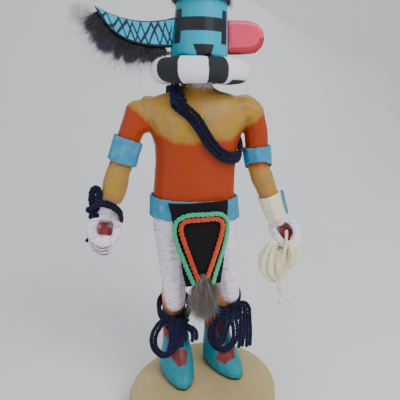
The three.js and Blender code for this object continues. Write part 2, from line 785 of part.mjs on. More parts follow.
// Places of the bandolier's middle: height, turn round the trunk, and how much further it stands out
const BANDOLIER_ROUTE = [[197, -0.64, 1.2], [193.8, -0.46, 1], [188.8, -0.25, 0.6], [184, -0.13, 0.4],
  [177.3, -0.01, 0.3], [169.7, 0.16, 0.3], [162.8, 0.41, 0.3], [159, 0.67, 0.2], [158.6, 1.05, 0.1], [161.5, 1.32, 0],
  [165, 1.6, 0], [170, 2, 0.3], [175, 2.5, 0.6], [181, 3, 0.8], [188, 3.4, 1], [193.5, 3.68, 1.4],
  [197.6, 3.95, 1.6], [200, 4.25, 1.8], [200.9, 4.68, 1.8], [200.6, 5.08, 1.6], [199.4, 5.4, 1.4]];

/** The bandolier: three strands side by side, over the right shoulder and round under the left arm. */
function bandolier() {
  const steps = 28;
  const lift = GAP + YARN / 2;
  const path = new THREE.CatmullRomCurve3(
    BANDOLIER_ROUTE.map(([z, turn, out]) => onTrunk(z, turn, lift + out)), true, 'centripetal',
  );
  const rings = Array.from({ length: steps }, (_, i) => {
    const middle = path.getPointAt(i / steps);
    const ahead = path.getTangentAt(i / steps);
    const out = new THREE.Vector3(middle.x - trunkAt(170).at.x, middle.y, 0);
    out.addScaledVector(ahead, -out.dot(ahead)).normalize();
    const side = new THREE.Vector3().crossVectors(ahead, out);
    const r = YARN / 2;
    return [[2.9, 0], [2.3, 0.87], [0, 0.8], [-2.3, 0.87], [-2.9, 0], [-2.3, -0.87], [0, -0.8], [2.3, -0.87]]
      .map(([across, up]) => middle.clone().addScaledVector(side, across * r).addScaledVector(out, up * r));
  });
  const knot = onTrunk(194.2, -0.47, lift + 1.2);
  return join([solid(hoop(rings)), lump(knot, 3 * YARN, 1.5 * YARN, 2.8 * YARN)]).subtract(clearance);
}

/** Turns of yarn lying one on another round a limb: a hoop with a ridge for each turn. */
function windings(corners, turnsRound, pointAt) {
  const rings = turns(corners).map((turn) => {
    const ridges = [];
    for (let i = 0; i < turnsRound; i += 1) {
      ridges.push(pointAt(turn, 0.45 * YARN, -(i + 0.02) * YARN), pointAt(turn, YARN, -(i + 0.5) * YARN));
    }
    ridges.push(pointAt(turn, 0.45 * YARN, -turnsRound * YARN));
    return [...ridges, pointAt(turn, 0, -(turnsRound - 0.3) * YARN), pointAt(turn, 0, -0.3 * YARN)];
  });
  return solid(hoop(rings));
}

/** Yarn tied round the right wrist, with a standing bow loop and one short end. */
function wristYarn() {
  const wrist = rightArm.shareAtHeight(129.4 * SCALE);
  const length = rightArm.path.getLength();
  const wraps = windings(WRAP_SIDES, 2, (turn, out, along) => rightArm.onSkin(
    wrist - along / length, turn, WRAP_EASE + out,
  ));
  const tie = point(-63.6, -6, 126.4);
  const loop = strand([tie, point(-66.6, -7.4, 131), point(-66.6, -7.6, 138.4), point(-63.6, -7.6, 142.4),
    point(-60.4, -7.4, 141), point(-61.6, -6.8, 133), tie], DOUBLED * YARN, 10);
  const end = strand([tie, point(-67.8, -5.4, 120), point(-70, -5, 111.4), point(-70.6, -5, 106.8)], YARN, 3);
  return join([wraps, loop, end, lump(tie, 2 * YARN, 1.7 * YARN, 2 * YARN)]).subtract(clearance);
}

/** A knee tie: three turns that dip in front below the knee, a knot, hanging loops and loose ends. */
function legTie(shin, knee, loops, ends) {
  const wraps = windings(WRAP_SIDES, 3, (turn, out, along) => {
    const height = knee.z + 1.5 * YARN + along + 5.2 * SCALE * (1 - Math.cos(turn));
    const section = sectionAt(shin, height);
    const lift = WRAP_EASE + out;
    return new THREE.Vector3(
      section.at.x + (section.wide + lift) * Math.sin(turn),
      section.at.y - (section.deep + lift) * Math.cos(turn),
      height,
    );
  });
  return join([
    wraps,
    lump(knee, 3.1 * YARN, 2 * YARN, 3.4 * YARN),
    ...loops.map((route) => strand([knee, ...route, knee], DOUBLED * YARN, 10)),
    ...ends.map((route) => strand([knee, ...route], DOUBLED * YARN, 3)),
  ]).subtract(clearance);
}

const upright = (sections) => [...sections].sort((one, other) => one.at.z - other.at.z);

function rightLegTie() {
  return legTie(upright(RIGHT_SHIN), point(-16.4, -11.6, 43.6), [
    [point(-24.5, -14.4, 47.4), point(-31, -14.8, 38), point(-31.4, -15, 27.6), point(-25.6, -15.6, 20.8),
      point(-18, -15.8, 26), point(-17.2, -14.4, 36)],
  ], [
    [point(-19.4, -14.6, 33), point(-20.6, -15.4, 25)],
    [point(-12.2, -14.4, 38), point(-11.2, -15.8, 29.6)],
    [point(-8.6, -13.4, 40), point(-4.6, -14.4, 35.4), point(-3.6, -15, 28.6)],
  ]);
}

function leftLegTie() {
  return legTie(upright(LEFT_SHIN), point(22.4, -11.4, 45.4), [
    [point(13, -14.2, 42), point(7.4, -15.2, 31), point(10.6, -16, 20), point(19.4, -16.4, 15),
      point(26.8, -16, 22.6), point(27, -14.6, 34)],
  ], [
    [point(28, -12.6, 49), point(32, -13, 48), point(31.4, -14, 36), point(30.4, -14.6, 17)],
    [point(31, -10.4, 50), point(36.4, -11, 46.8), point(36.2, -12.6, 34), point(36.8, -13.6, 16)],
  ]);
}

// The pouch in the left hand

/** One gathered lobe of the pouch: a limb whose skin is pleated lengthwise. */
function pleatedLobe(sections, pleats, depth) {
  const lobe = new Limb(sections);
  const sides = pleats * 3;
  const steps = 5;
  const rings = Array.from({ length: steps + 1 }, (_, row) => {
    const middle = lobe.path.getPoint(row / steps);
    return lobe.ring(row / steps, sides).map((p, i) => {
      const fold = 1 + depth * Math.cos((2 * Math.PI * pleats * i) / sides);
      return middle.clone().lerp(p, fold);
    });
  });
  return solid(skin(rings));
}

/** The leather pouch: a pleated bag on the inner side, a folded lip on the outer one. */
function pouch() {
  const bag = pleatedLobe([
    cut(57.4, -16.6, 95.4, 2.2, 2.4),
    cut(54.4, -14.8, 95.2, 4.6, 4.4),
    cut(53.6, -13.8, 87, 8.6, 6.8),
    cut(54, -13.8, 78, 8.8, 7),
    cut(56, -14.6, 71, 5.8, 5.2),
    cut(58, -16, 68, 2, 2.4),
  ], 6, 0.09);
  const lip = pleatedLobe([
    cut(60.4, -20.8, 96, 1.6, 1.8),
    cut(63.6, -24.2, 98, 3.4, 2.4),
    cut(66.6, -24.2, 92, 4.4, 2.8),
    cut(65.8, -22, 84.6, 3.6, 2.8),
    cut(62.4, -19.4, 77.6, 2.4, 2.4),
    cut(58.6, -17, 69, 1.8, 1.8),
  ], 4, 0.08);
  const gathers = [lump(point(58.6, -18.4, 95.4), 8, 7, 5), lump(point(58, -16.6, 68.6), 5, 4.6, 5)];
  return join([bag, lip, ...gathers]).subtract(clearance);
}

/** The drawstring: through the curled hand, down in front of the pouch to its knot and two ends. */
function pouchDrawstring() {
  const knot = point(58, -21.6, 65.4);
  const string = strand([leftHand.place(0, 2.4, -5), leftHand.place(0, 1.6, 0), leftHand.place(1, -1.4, 4),
    point(59.4, -26, 97.6), point(57.4, -25.6, 87), point(57.6, -23.4, 75), knot], THONG, 11);
  const ends = [
    strand([knot, point(58.2, -21.4, 59), point(57.4, -21, 52.6)], THONG * 0.8, 3),
    strand([knot, point(60.6, -21.4, 58.6), point(65.4, -21, 51.4)], THONG * 0.8, 3),
  ];
  return join([string, ...ends, lump(knot, 2 * THONG, 1.8 * THONG, 2.2 * THONG)]).subtract(clearance);
}

// The model

const model = new THREE.Group();
const figure = new THREE.Group();
figure.position.set(0, STAND_BACK, BASE_HEIGHT + GAP);
model.add(figure);

function add(group, name, body, color, roughness, metalness = 0) {
  const mesh = new THREE.Mesh(surface(body), new THREE.MeshStandardMaterial({ color, roughness, metalness }));
  mesh.name = name;
  group.add(mesh);
}

add(model, 'base_disc', baseDisc(), '#b9a882', 0.7);
const carved = parts();
add(figure, 'carved_body', carved.body, '#b5521c', 0.55);
add(figure, 'right_arm', carved.rightArm, '#b5521c', 0.55);
add(figure, 'left_arm', carved.leftArm, '#b5521c', 0.55);
add(figure, 'ruff', ruff(), '#e6e6ea', 0.95);
add(figure, 'horn', horn(), '#2fb3cd', 0.5);
add(figure, 'horn_fringe', hornFringe(), '#2b2733', 1);
add(figure, 'horn_tuft', hornTuft(), '#d9d2cc', 1);
add(figure, 'horn_peg', hornPeg(), '#cfc8b4', 0.9);
add(figure, 'ear', ear(), '#dc5f7d', 0.5);
add(figure, 'crown_wool', crownWool(), '#1c1a20', 1);
add(figure, 'right_armband', armband(rightArm, ...rightBand), '#4a93ad', 0.85);
add(figure, 'left_armband', armband(leftArm, ...leftBand), '#4a93ad', 0.85);
add(figure, 'belt', belt(), '#4a8fa5', 0.85);
add(figure, 'apron', apron(), '#17161a', 1);
add(figure, 'apron_green_yarn', apronYarn(GREEN_ROUTE, 17), '#3fb58d', 0.95);
add(figure, 'apron_red_yarn', apronYarn(RED_ROUTE, 15), '#d9501f', 0.95);
add(figure, 'fur_tail', furTail(), '#7d746b', 1);
add(figure, 'bandolier', bandolier(), '#1d2040', 0.95);
add(figure, 'wrist_yarn', wristYarn(), '#1d2040', 0.95);
add(figure, 'wrist_cuff', wristCuff(), '#ddd6b8', 0.75);
add(figure, 'cuff_strip', cuffStrip(), '#4a93ad', 0.85);
add(figure, 'pouch', pouch(), '#d8cfb0', 0.8);
add(figure, 'pouch_drawstring', pouchDrawstring(), '#d8cfb0', 0.8);
add(figure, 'right_leg_tie', rightLegTie(), '#17192c', 0.95);
add(figure, 'left_leg_tie', leftLegTie(), '#17192c', 0.95);

export default model;
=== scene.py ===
"""Looks of a carved and painted kachina doll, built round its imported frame.

Metres, +Z up, the doll faces -Y. Routes and paint are written in figure millimetres: the same axes, with the
zero on the base's top, below the middle of the trunk. Right and left are the doll's own.
"""

import logging
import math
from dataclasses import dataclass
from enum import Enum
from typing import Callable, Iterable, Sequence

import bpy
import numpy as np
from mathutils import Matrix, Vector


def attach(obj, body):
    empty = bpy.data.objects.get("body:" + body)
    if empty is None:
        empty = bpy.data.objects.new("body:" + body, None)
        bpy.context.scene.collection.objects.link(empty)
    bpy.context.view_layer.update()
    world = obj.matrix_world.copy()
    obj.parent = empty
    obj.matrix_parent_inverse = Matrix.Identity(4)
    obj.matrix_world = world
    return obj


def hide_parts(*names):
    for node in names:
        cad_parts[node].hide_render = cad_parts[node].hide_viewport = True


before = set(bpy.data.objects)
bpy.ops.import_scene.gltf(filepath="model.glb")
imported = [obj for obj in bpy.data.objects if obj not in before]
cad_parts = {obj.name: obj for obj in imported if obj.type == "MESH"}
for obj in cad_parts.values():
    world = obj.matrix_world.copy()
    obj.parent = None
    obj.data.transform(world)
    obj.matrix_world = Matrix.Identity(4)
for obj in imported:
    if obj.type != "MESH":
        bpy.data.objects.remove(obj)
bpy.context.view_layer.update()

LOG = logging.getLogger("kachina_doll")
logging.basicConfig(level=logging.INFO, format="%(name)s: %(message)s")

Points = np.ndarray
MM = 0.001
FIGURE_ORIGIN = np.array([0.0, 25.0, 20.3])
YARN = 2.9
THONG = 2.4
DOUBLED = 1.35


class Slot(str, Enum):
    """Material slots of the record."""

    WOOD = "wood_base"
    PAINTED = "painted_wood"
    RUFF = "ruff_cloth"
    HORN = "horn_paint"
    FRINGE = "fringe_fur"
    DOWN = "white_down"
    ROLL = "cream_roll"
    EAR = "ear_paint"
    CROWN = "crown_wool"
    BLUE = "blue_leather"
    FELT = "black_felt"
    GREEN = "green_yarn"
    RED = "red_yarn"
    TAIL = "tail_fur"
    NAVY = "navy_yarn"
    CREAM = "cream_leather"


def srgb(red: int, green: int, blue: int) -> tuple[float, float, float, float]:
    """Turns an 8-bit display colour into the linear colour that shaders take."""
    linear = [((v / 255 + 0.055) / 1.055) ** 2.4 if v > 10 else v / 255 / 12.92 for v in (red, green, blue)]
    return (*linear, 1.0)


def row(points: Iterable) -> Points:
    """Figure millimetres as row-frame metres."""
    return (np.atleast_2d(np.asarray(points, dtype=float)) + FIGURE_ORIGIN) * MM


def smoothstep(low: float, high: float, value: np.ndarray) -> np.ndarray:
    """A soft step from 0 at low to 1 at high."""
    share = np.clip((value - low) / (high - low), 0, 1)
    return share * share * (3 - 2 * share)


# Shaders


FLOAT, COLOR = "NodeSocketFloat", "NodeSocketColor"
WHITE = (1.0, 1.0, 1.0, 1.0)
EVEN = (1.0, 1.0, 1.0)


class Shader:
    """Short ways to add and join the nodes of one tree."""

    def __init__(self, tree: bpy.types.NodeTree) -> None:
        """Keeps the tree."""
        self.tree = tree

    def add(self, kind: str, **settings: object) -> bpy.types.Node:
        """Adds a node and sets its plain settings.

        Args:
            kind: Name of the node's type.
            settings: Attributes of the node.

        Returns:
            The node.
        """
        node = self.tree.nodes.new(kind)
        node.location = (220 * (len(self.tree.nodes) % 9), -180 * (len(self.tree.nodes) // 9))
        for name, value in settings.items():
            setattr(node, name, value)
        return node

    def feed(self, socket: bpy.types.NodeSocket, value: object) -> None:
        """Joins a socket to an input, or writes a plain value in it.

        Args:
            socket: The input.
            value: A socket, a number or a colour.
        """
        if isinstance(value, bpy.types.NodeSocket):
            self.tree.links.new(value, socket)
        else:
            socket.default_value = value

    def result(self, kind: str, inputs: dict, output: int | str = 0, **settings: object) -> bpy.types.NodeSocket:
        """Adds a node, feeds it and gives one of its outputs.

        Args:
            kind: Name of the node's type.
            inputs: Values of its inputs, by number or name.
            output: Number or name of the output.
            settings: Attributes of the node.

        Returns:
            The output.
        """
        node = self.add(kind, **settings)
        for key, value in inputs.items():
            self.feed(node.inputs[key], value)
        return node.outputs[output]

    def math(self, how: str, first: object, second: object, clamp: bool = False) -> bpy.types.NodeSocket:
        """Joins two numbers by an operation, kept from 0 to 1 where clamp is set."""
        return self.result("ShaderNodeMath", {0: first, 1: second}, operation=how, use_clamp=clamp)

    def plus(self, first: object, second: object, clamp: bool = False) -> bpy.types.NodeSocket:
        """Adds two numbers."""
        return self.math("ADD", first, second, clamp)

    def times(self, first: object, second: object, clamp: bool = False) -> bpy.types.NodeSocket:
        """Multiplies two numbers."""
        return self.math("MULTIPLY", first, second, clamp)

    def above(self, value: object, low: float, gain: float) -> bpy.types.NodeSocket:
        """How far a number lies above a limit, times a gain, from 0 to 1."""
        return self.times(self.math("SUBTRACT", value, low, True), gain, True)

    def around(self, value: object, gain: object) -> bpy.types.NodeSocket:
        """How far a number lies from one half, times a gain."""
        return self.times(self.math("SUBTRACT", value, 0.5), gain)

    def mix(self, factor: object, first: object, second: object, how: str = "MIX") -> bpy.types.NodeSocket:
        """Mixes a share of the second colour into the first."""
        return self.result("ShaderNodeMix", {0: factor, 6: first, 7: second}, 2, data_type="RGBA", blend_type=how)

    def shaded(self, color: object, bright: object) -> bpy.types.NodeSocket:
        """A colour times a brightness."""
        grey = self.result("ShaderNodeCombineColor", {0: bright, 1: bright, 2: bright})
        return self.mix(1.0, color, grey, "MULTIPLY")

    def noise(self, stretch: Sequence[float], scale: object, detail: float = 3.0,
              rough: float = 0.55) -> bpy.types.NodeSocket:
        """Noise over the object, about 0.5 in the mean.

        Args:
            stretch: How far the place in millimetres is stretched along each axis.
            scale: The noise's scale.
            detail: Octaves.
            rough: Strength of the finer octaves.

        Returns:
            The noise.
        """
        spot = self.result("ShaderNodeTexCoord", {}, "Object")
        spot = self.result("ShaderNodeVectorMath", {0: spot, 1: [share / MM for share in stretch]},
                           operation="MULTIPLY")
        return self.result("ShaderNodeTexNoise", {"Vector": spot, "Scale": scale, "Detail": detail,
                                                  "Roughness": rough}, "Fac")

    def attribute(self, name: str) -> bpy.types.NodeSocket:
        """Reads a number written on the mesh's points."""
        return self.result("ShaderNodeAttribute", {}, "Fac", attribute_name=name)

    def group(self, tree: bpy.types.NodeTree, **inputs: object) -> dict[str, bpy.types.NodeSocket]:
        """Adds a node group.

        Args:
            tree: The group's tree.
            inputs: Values of its inputs, with _ for a space.

        Returns:
            Its outputs by name.
        """
        node = self.add("ShaderNodeGroup", node_tree=tree)
        for name, value in inputs.items():
            self.feed(node.inputs[name.replace("_", " ")], value)
        return {output.name: output for output in node.outputs}


def new_group(name: str, inputs: dict[str, object],
              outputs: Sequence[str]) -> tuple[Shader, bpy.types.NodeInputs, bpy.types.NodeOutputs]:
    """Makes an empty shader node group.

    Args:
        name: The group's name.
        inputs: Default of each input, a number or a colour.
        outputs: Names of the outputs.

    Returns:
        The group's shader, what it is given and what it gives.
    """
    tree = bpy.data.node_groups.new(name, "ShaderNodeTree")
    for label, default in inputs.items():
        kind = COLOR if isinstance(default, tuple) else FLOAT
        tree.interface.new_socket(label, in_out="INPUT", socket_type=kind).default_value = default
    for label in outputs:
        tree.interface.new_socket(label, in_out="OUTPUT", socket_type=COLOR if label == "Color" else FLOAT)
    shader = Shader(tree)
    return shader, shader.add("NodeGroupInput").outputs, shader.add("NodeGroupOutput").inputs


def make_brushed_group() -> bpy.types.NodeTree:
    """Hand-brushed paint: faint streaks and clouds of tone, a little relief and uneven gloss.

    Returns:
        The group's tree.
    """
    shader, given, out = new_group("brushed_paint", {"Color": WHITE, "Cloud": 0.2, "Streak": 0.15, "Gloss": 0.5},
                                   ("Color", "Roughness", "Height"))
    streak = shader.noise((0.5, 0.5, 2.6), 0.55, 4, 0.7)
    tone = shader.plus(shader.around(shader.noise(EVEN, 0.09, 4), given["Cloud"]),
                       shader.around(streak, given["Streak"]))
    shader.feed(out["Color"], shader.shaded(given["Color"], shader.plus(tone, 1.0)))
    shader.feed(out["Roughness"], shader.plus(given["Gloss"], shader.around(streak, 0.3), True))
    shader.feed(out["Height"], shader.plus(streak, shader.times(shader.noise(EVEN, 2.4, 2), 0.35)))
    return shader.tree


def make_edge_group() -> bpy.types.NodeTree:
    """A painted edge: turns a distance in millimetres into a share of cover, with a wavering, soft boundary.

    Returns:
        The group's tree.
    """
    shader, given, out = new_group("painted_edge", {"Field": 0.0, "Waver": 0.5, "Softness": 0.3, "Scale": 0.6},
                                   ("Cover",))
    wobble = shader.around(shader.noise(EVEN, given["Scale"], 3), given["Waver"])
    moved = shader.plus(given["Field"], wobble)
    shader.feed(out["Cover"], shader.plus(shader.math("DIVIDE", moved, given["Softness"]), 0.5, True))
    return shader.tree


def make_fibre_group() -> bpy.types.NodeTree:
    """Wool, fur or felt: tone that changes from fibre to fibre, from root to tip and with fine noise.

    Returns:
        The group's tree.
    """
    shader, given, out = new_group(
        "fibre_tone", {"Root": WHITE, "Tip": WHITE, "Pale": WHITE, "Pale Share": 0.2, "Grain": 2.0},
        ("Color", "Height"))
    along = shader.mix(shader.attribute("along"), given["Root"], given["Tip"])
    tone = shader.attribute("tone")
    pale = shader.math("GREATER_THAN", tone, shader.math("SUBTRACT", 1.0, given["Pale Share"]))
    color = shader.mix(shader.times(pale, 0.8), along, given["Pale"])
    grain = shader.noise(EVEN, given["Grain"], 4, 0.7)
    shade = shader.plus(shader.times(grain, 0.9), shader.times(tone, 0.35))
    shader.feed(out["Color"], shader.shaded(color, shader.plus(shade, 0.38)))
    shader.feed(out["Height"], grain)
    return shader.tree


def make_leather_group() -> bpy.types.NodeTree:
    """Thin leather: small creases, a suede nap and rubbed spots.

    Returns:
        The group's tree.
    """
    shader, given, out = new_group("leather_face", {"Color": WHITE, "Rubbed": WHITE, "Rub": 0.3, "Grain": 1.6},
                                   ("Color", "Height"))
    nap = shader.noise(EVEN, given["Grain"], 5, 0.72)
    spots = shader.above(shader.noise(EVEN, 0.22, 4, 0.6), 0.5, 4.0)
    rubbed = shader.mix(shader.times(spots, given["Rub"]), given["Color"], given["Rubbed"])
    shader.feed(out["Color"], shader.shaded(rubbed, shader.plus(shader.times(nap, 0.5), 0.75)))
    shader.feed(out["Height"], nap)
    return shader.tree


@dataclass(frozen=True)
class Groups:
    """The node groups that the finishes share."""

    brushed: bpy.types.NodeTree
    edge: bpy.types.NodeTree
    fibre: bpy.types.NodeTree
    leather: bpy.types.NodeTree


@dataclass(frozen=True)
class Surface:
    """One material being built: its nodes, its Principled shader and the shared groups."""

    material: bpy.types.Material
    shader: Shader
    skin: bpy.types.Node
    groups: Groups

    def set(self, **values: object) -> None:
        """Feeds sockets of the Principled shader, named with _ for a space."""
        for name, value in values.items():
            self.shader.feed(self.skin.inputs[name.replace("_", " ")], value)

    def bump(self, height: bpy.types.NodeSocket, strength: float, depth_mm: float) -> None:
        """Adds relief: its height from 0 to 1, its strength and how deep it is."""
        inputs = {"Strength": strength, "Distance": depth_mm * MM, "Height": height}
        self.set(Normal=self.shader.result("ShaderNodeBump", inputs))

    def cover(self, name: str, waver: float, softness: float, scale: float = 0.6) -> bpy.types.NodeSocket:
        """How far a painted region covers the surface.

        Args:
            name: Attribute with the distance inside the region, in millimetres.
            waver: How far the edge wanders, in millimetres.
            softness: Width of the edge, in millimetres.
            scale: Scale of the wandering.

        Returns:
            The share of cover.
        """
        field = self.shader.attribute(name)
        found = self.shader.group(self.groups.edge, Field=field, Waver=waver, Softness=softness, Scale=scale)
        return found["Cover"]


def new_surface(name: str, groups: Groups) -> Surface:
    """Starts a material.

    Args:
        name: Its name.
        groups: The shared node groups.

    Returns:
        The surface to fill.
    """
    material = bpy.data.materials.new(name)
    material.use_nodes = True
    tree = material.node_tree
    tree.nodes.clear()
    shader = Shader(tree)
    skin = shader.add("ShaderNodeBsdfPrincipled")
    tree.links.new(skin.outputs[0], shader.add("ShaderNodeOutputMaterial").inputs[0])
    return Surface(material, shader, skin, groups)


@dataclass(frozen=True)
class Finish:
    """A finish and its name."""

    name: str

    def make(self, groups: Groups) -> bpy.types.Material:
        """Builds the material.

        Args:
            groups: The shared node groups.

        Returns:
            The material.
        """
        surface = new_surface(self.name, groups)
        self.lay(surface)
        return surface.material

    def lay(self, surface: Surface) -> None:
        """Lays the finish on a surface, as each kind of finish says."""
        raise NotImplementedError


@dataclass(frozen=True)
class BrushedFinish(Finish):
    """One colour of brushed paint, or plain wood."""

    color: tuple
    gloss: float = 0.5
    cloud: float = 0.2
    streak: float = 0.15
    relief: float = 0.12

    def lay(self, surface: Surface) -> None:
        """Lays the paint.

        Args:
            surface: Where it goes.
        """
        paint = surface.shader.group(surface.groups.brushed, Color=self.color, Cloud=self.cloud,
                                     Streak=self.streak, Gloss=self.gloss)
        surface.set(Base_Color=paint["Color"], Roughness=paint["Roughness"])
        surface.bump(paint["Height"], 0.5, self.relief)


@dataclass(frozen=True)
class FibreFinish(Finish):
    """Yarn, fur, wool or felt."""

    root: tuple
    tip: tuple
    pale: tuple
    pale_share: float = 0.0
    grain: float = 2.0
    relief: float = 0.3
    sheen: float = 0.3

    def lay(self, surface: Surface) -> None:
        """Gives the fibres their tone.

        Args:
            surface: Where it goes.
        """
        tone = surface.shader.group(surface.groups.fibre, Root=self.root, Tip=self.tip, Pale=self.pale,
                                    Pale_Share=self.pale_share, Grain=self.grain)
        surface.set(Base_Color=tone["Color"], Roughness=0.92, Specular_IOR_Level=0.2,
                    Sheen_Weight=self.sheen, Sheen_Roughness=0.5)
        surface.bump(tone["Height"], 0.6, self.relief)


@dataclass(frozen=True)
class LeatherFinish(Finish):
    """Thin leather with a suede or a smooth face."""

    color: tuple
    rubbed: tuple
    rub: float = 0.3
    grain: float = 1.6
    rough: float = 0.9
    relief: float = 0.2

    def lay(self, surface: Surface) -> None:
        """Lays the leather's face, with painted shade in its creases.

        Args:
            surface: Where it goes.
        """
        shader = surface.shader
        face = shader.group(surface.groups.leather, Color=self.color, Rubbed=self.rubbed, Rub=self.rub,
                            Grain=self.grain)
        # Painted shade: the creases are mixed towards a dark brown.
        deep = shader.times(shader.attribute("crease_shade"), 0.75)
        surface.set(Base_Color=shader.mix(deep, face["Color"], srgb(96, 80, 46)), Roughness=self.rough,
                    Specular_IOR_Level=0.3)
        surface.bump(face["Height"], 0.6, self.relief)


@dataclass(frozen=True)
class TwoToneFinish(Finish):
    """Paint of two or three colours whose regions are written on the mesh."""

    ground: tuple
    second: tuple
    third: tuple
    gloss: float = 0.45
    waver: float = 0.5
    softness: float = 0.5
    cloud: float = 0.2
    relief: float = 0.12

    def lay(self, surface: Surface) -> None:
        """Lays the ground and the two colours over it.

        Args:
            surface: Where it goes.
        """
        color = self.ground
        for region, paint in (("second", self.second), ("third", self.third)):
            color = surface.shader.mix(surface.cover(region, self.waver, self.softness), color, paint)
        face = surface.shader.group(surface.groups.brushed, Color=color, Cloud=self.cloud, Streak=0.12,
                                    Gloss=self.gloss)
        surface.set(Base_Color=face["Color"], Roughness=face["Roughness"])
        surface.bump(face["Height"], 0.5, self.relief)


RUST = srgb(164, 54, 0)
OCHRE = srgb(178, 134, 44)
CHALK = srgb(240, 234, 250)
TURQUOISE = srgb(0, 172, 206)
SLATE = srgb(30, 32, 38)
BRICK = srgb(140, 46, 42)
TEAL = srgb(24, 134, 150)


@dataclass(frozen=True)
class FigurePaint(Finish):
    """The carving's paint: every colour field, laid one over another as it was brushed on."""

    def lay(self, surface: Surface) -> None:
        """Mixes each colour with its wear or with painted shade, and lays the fields in order.

        Args:
            surface: Where they go.
        """
        shader, cover = surface.shader, surface.cover
        crackle = shader.noise(EVEN, 0.42, 7, 0.82)
        scuffed = shader.above(crackle, 0.51, 9.0)
        ochre = shader.mix(shader.above(shader.noise(EVEN, 0.12, 3), 0.44, 4.0), OCHRE, srgb(160, 128, 84))
        ochre = shader.mix(shader.times(scuffed, 0.5), ochre, srgb(128, 100, 52))
        rim = shader.mix(0.5, OCHRE, srgb(146, 96, 8))
        rimmed = shader.times(cover("ochre_rim", 4.0, 2.6, 0.3), shader.plus(scuffed, 0.35, True))
        strokes = shader.noise((0.2, 0.2, 3.2), 0.9, 4, 0.7)
        worn = shader.above(shader.noise((0.45, 0.45, 2.2), 0.3, 5, 0.75), 0.522, 9.0)
        lilac = shader.above(shader.noise((0.22, 0.22, 4.0), 0.7, 3, 0.6), 0.55, 6.0)
        white = shader.mix(shader.times(lilac, 0.6), CHALK, srgb(176, 150, 204))
        white = shader.mix(shader.times(worn, shader.times(strokes, 1.3, True)), white, srgb(186, 76, 112))
        # Painted shade: the mask's turquoise turns darker teal towards its right side.
        turn = shader.plus(shader.times(shader.attribute("mask_shaded_side"), 0.9), 0.1, True)
        color = RUST
        for share, paint in (
            (cover("ochre", 3.0, 3.0, 0.3), ochre),
            (rimmed, rim),
            (cover("rust_again", 0.8, 0.6), RUST),
            (cover("knee_rim", 1.2, 1.4, 0.4), srgb(206, 120, 92)),
            (cover("white", 0.8, 0.7), white),
            (cover("finger_line", 0.35, 0.35, 0.8), srgb(112, 36, 72)),
            # Red paint in the hands' hollows; its near-black red is partly painted shade of the hollow.
            (cover("palm_paint_and_shade", 2.6, 3.6, 0.5), shader.mix(crackle, srgb(98, 20, 16), srgb(176, 84, 92))),
            (cover("brick", 0.8, 0.7), BRICK),
            (cover("teal", 0.6, 0.5), TEAL),
            (cover("patch", 0.6, 1.2), srgb(116, 44, 44)),
            (cover("mask", 0.3, 0.3), shader.mix(turn, TURQUOISE, srgb(20, 136, 146))),
            (cover("black", 0.5, 0.4), SLATE),
        ):
            color = shader.mix(share, color, paint)
        face = shader.group(surface.groups.brushed, Color=color, Cloud=0.22, Streak=0.16, Gloss=0.46)
        surface.set(Base_Color=face["Color"], Roughness=face["Roughness"], Specular_IOR_Level=0.32)
        chalky = shader.times(shader.times(strokes, cover("white", 0.8, 0.7)), 2.0)
        surface.bump(shader.plus(face["Height"], chalky), 0.45, 0.12)


FINISHES: dict[Slot, Finish] = {
    Slot.WOOD: BrushedFinish("bare_cottonwood", srgb(180, 160, 112), 0.62, 0.3, 0.1, 0.15),
    Slot.PAINTED: FigurePaint("figure_paint"),
    Slot.RUFF: TwoToneFinish("ruff_paint", srgb(238, 240, 246), srgb(38, 40, 45), srgb(38, 40, 45), 0.92, 0.9,
                             0.5, 0.12, 0.3),
    Slot.HORN: TwoToneFinish("horn_paint", srgb(0, 176, 212), srgb(26, 28, 52), srgb(16, 14, 24), 0.5, 0.25, 0.3),
    Slot.FRINGE: FibreFinish("fringe_fur", srgb(6, 6, 14), srgb(74, 66, 92), srgb(140, 118, 112), 0.05),
    Slot.DOWN: FibreFinish("white_down", srgb(248, 245, 245), srgb(253, 251, 251), srgb(240, 226, 222), 0.2),
    Slot.ROLL: BrushedFinish("cream_roll", srgb(214, 206, 178), 0.85),
    Slot.EAR: TwoToneFinish("ear_paint", srgb(238, 60, 100), srgb(176, 14, 30), srgb(150, 20, 30), 0.36, 0.9, 1.4),
    Slot.CROWN: FibreFinish("crown_wool", srgb(24, 22, 26), srgb(40, 36, 44), srgb(70, 60, 66), 0.1),
    Slot.BLUE: LeatherFinish("blue_leather", srgb(58, 142, 180), srgb(128, 190, 204), 0.5),
    Slot.FELT: FibreFinish("black_felt", srgb(15, 14, 17), srgb(26, 25, 28), srgb(46, 44, 44), 0.1, 3.0, 0.4, 0.12),
    Slot.GREEN: FibreFinish("green_yarn", srgb(18, 168, 114), srgb(52, 196, 142), srgb(90, 210, 164), 0.08),
    Slot.RED: FibreFinish("red_yarn", srgb(204, 44, 2), srgb(222, 78, 22), srgb(234, 104, 44), 0.08),
    Slot.TAIL: FibreFinish("tail_fur", srgb(84, 74, 68), srgb(126, 118, 112), srgb(176, 166, 156), 0.18),
    Slot.NAVY: FibreFinish("navy_yarn", srgb(5, 7, 32), srgb(18, 22, 62), srgb(42, 48, 92), 0.04, 2.0, 0.3, 0.12),
    Slot.CREAM: LeatherFinish("cream_leather", srgb(242, 234, 200), srgb(200, 178, 120), 0.4, 1.2, 0.62, 0.12),
}


class Palette:
    """Makes each slot's material once."""

    def __init__(self) -> None:
        """Makes the shared groups and every material."""
        self.groups = Groups(make_brushed_group(), make_edge_group(), make_fibre_group(), make_leather_group())
        self.made = {slot: finish.make(self.groups) for slot, finish in FINISHES.items()}

    def __getitem__(self, slot: Slot) -> bpy.types.Material:
        """The material of a slot."""
        return self.made[slot]


# Meshes


@dataclass
class Shape:
    """Points, faces and the numbers written on the points."""

    points: Points
    faces: list
    numbers: dict


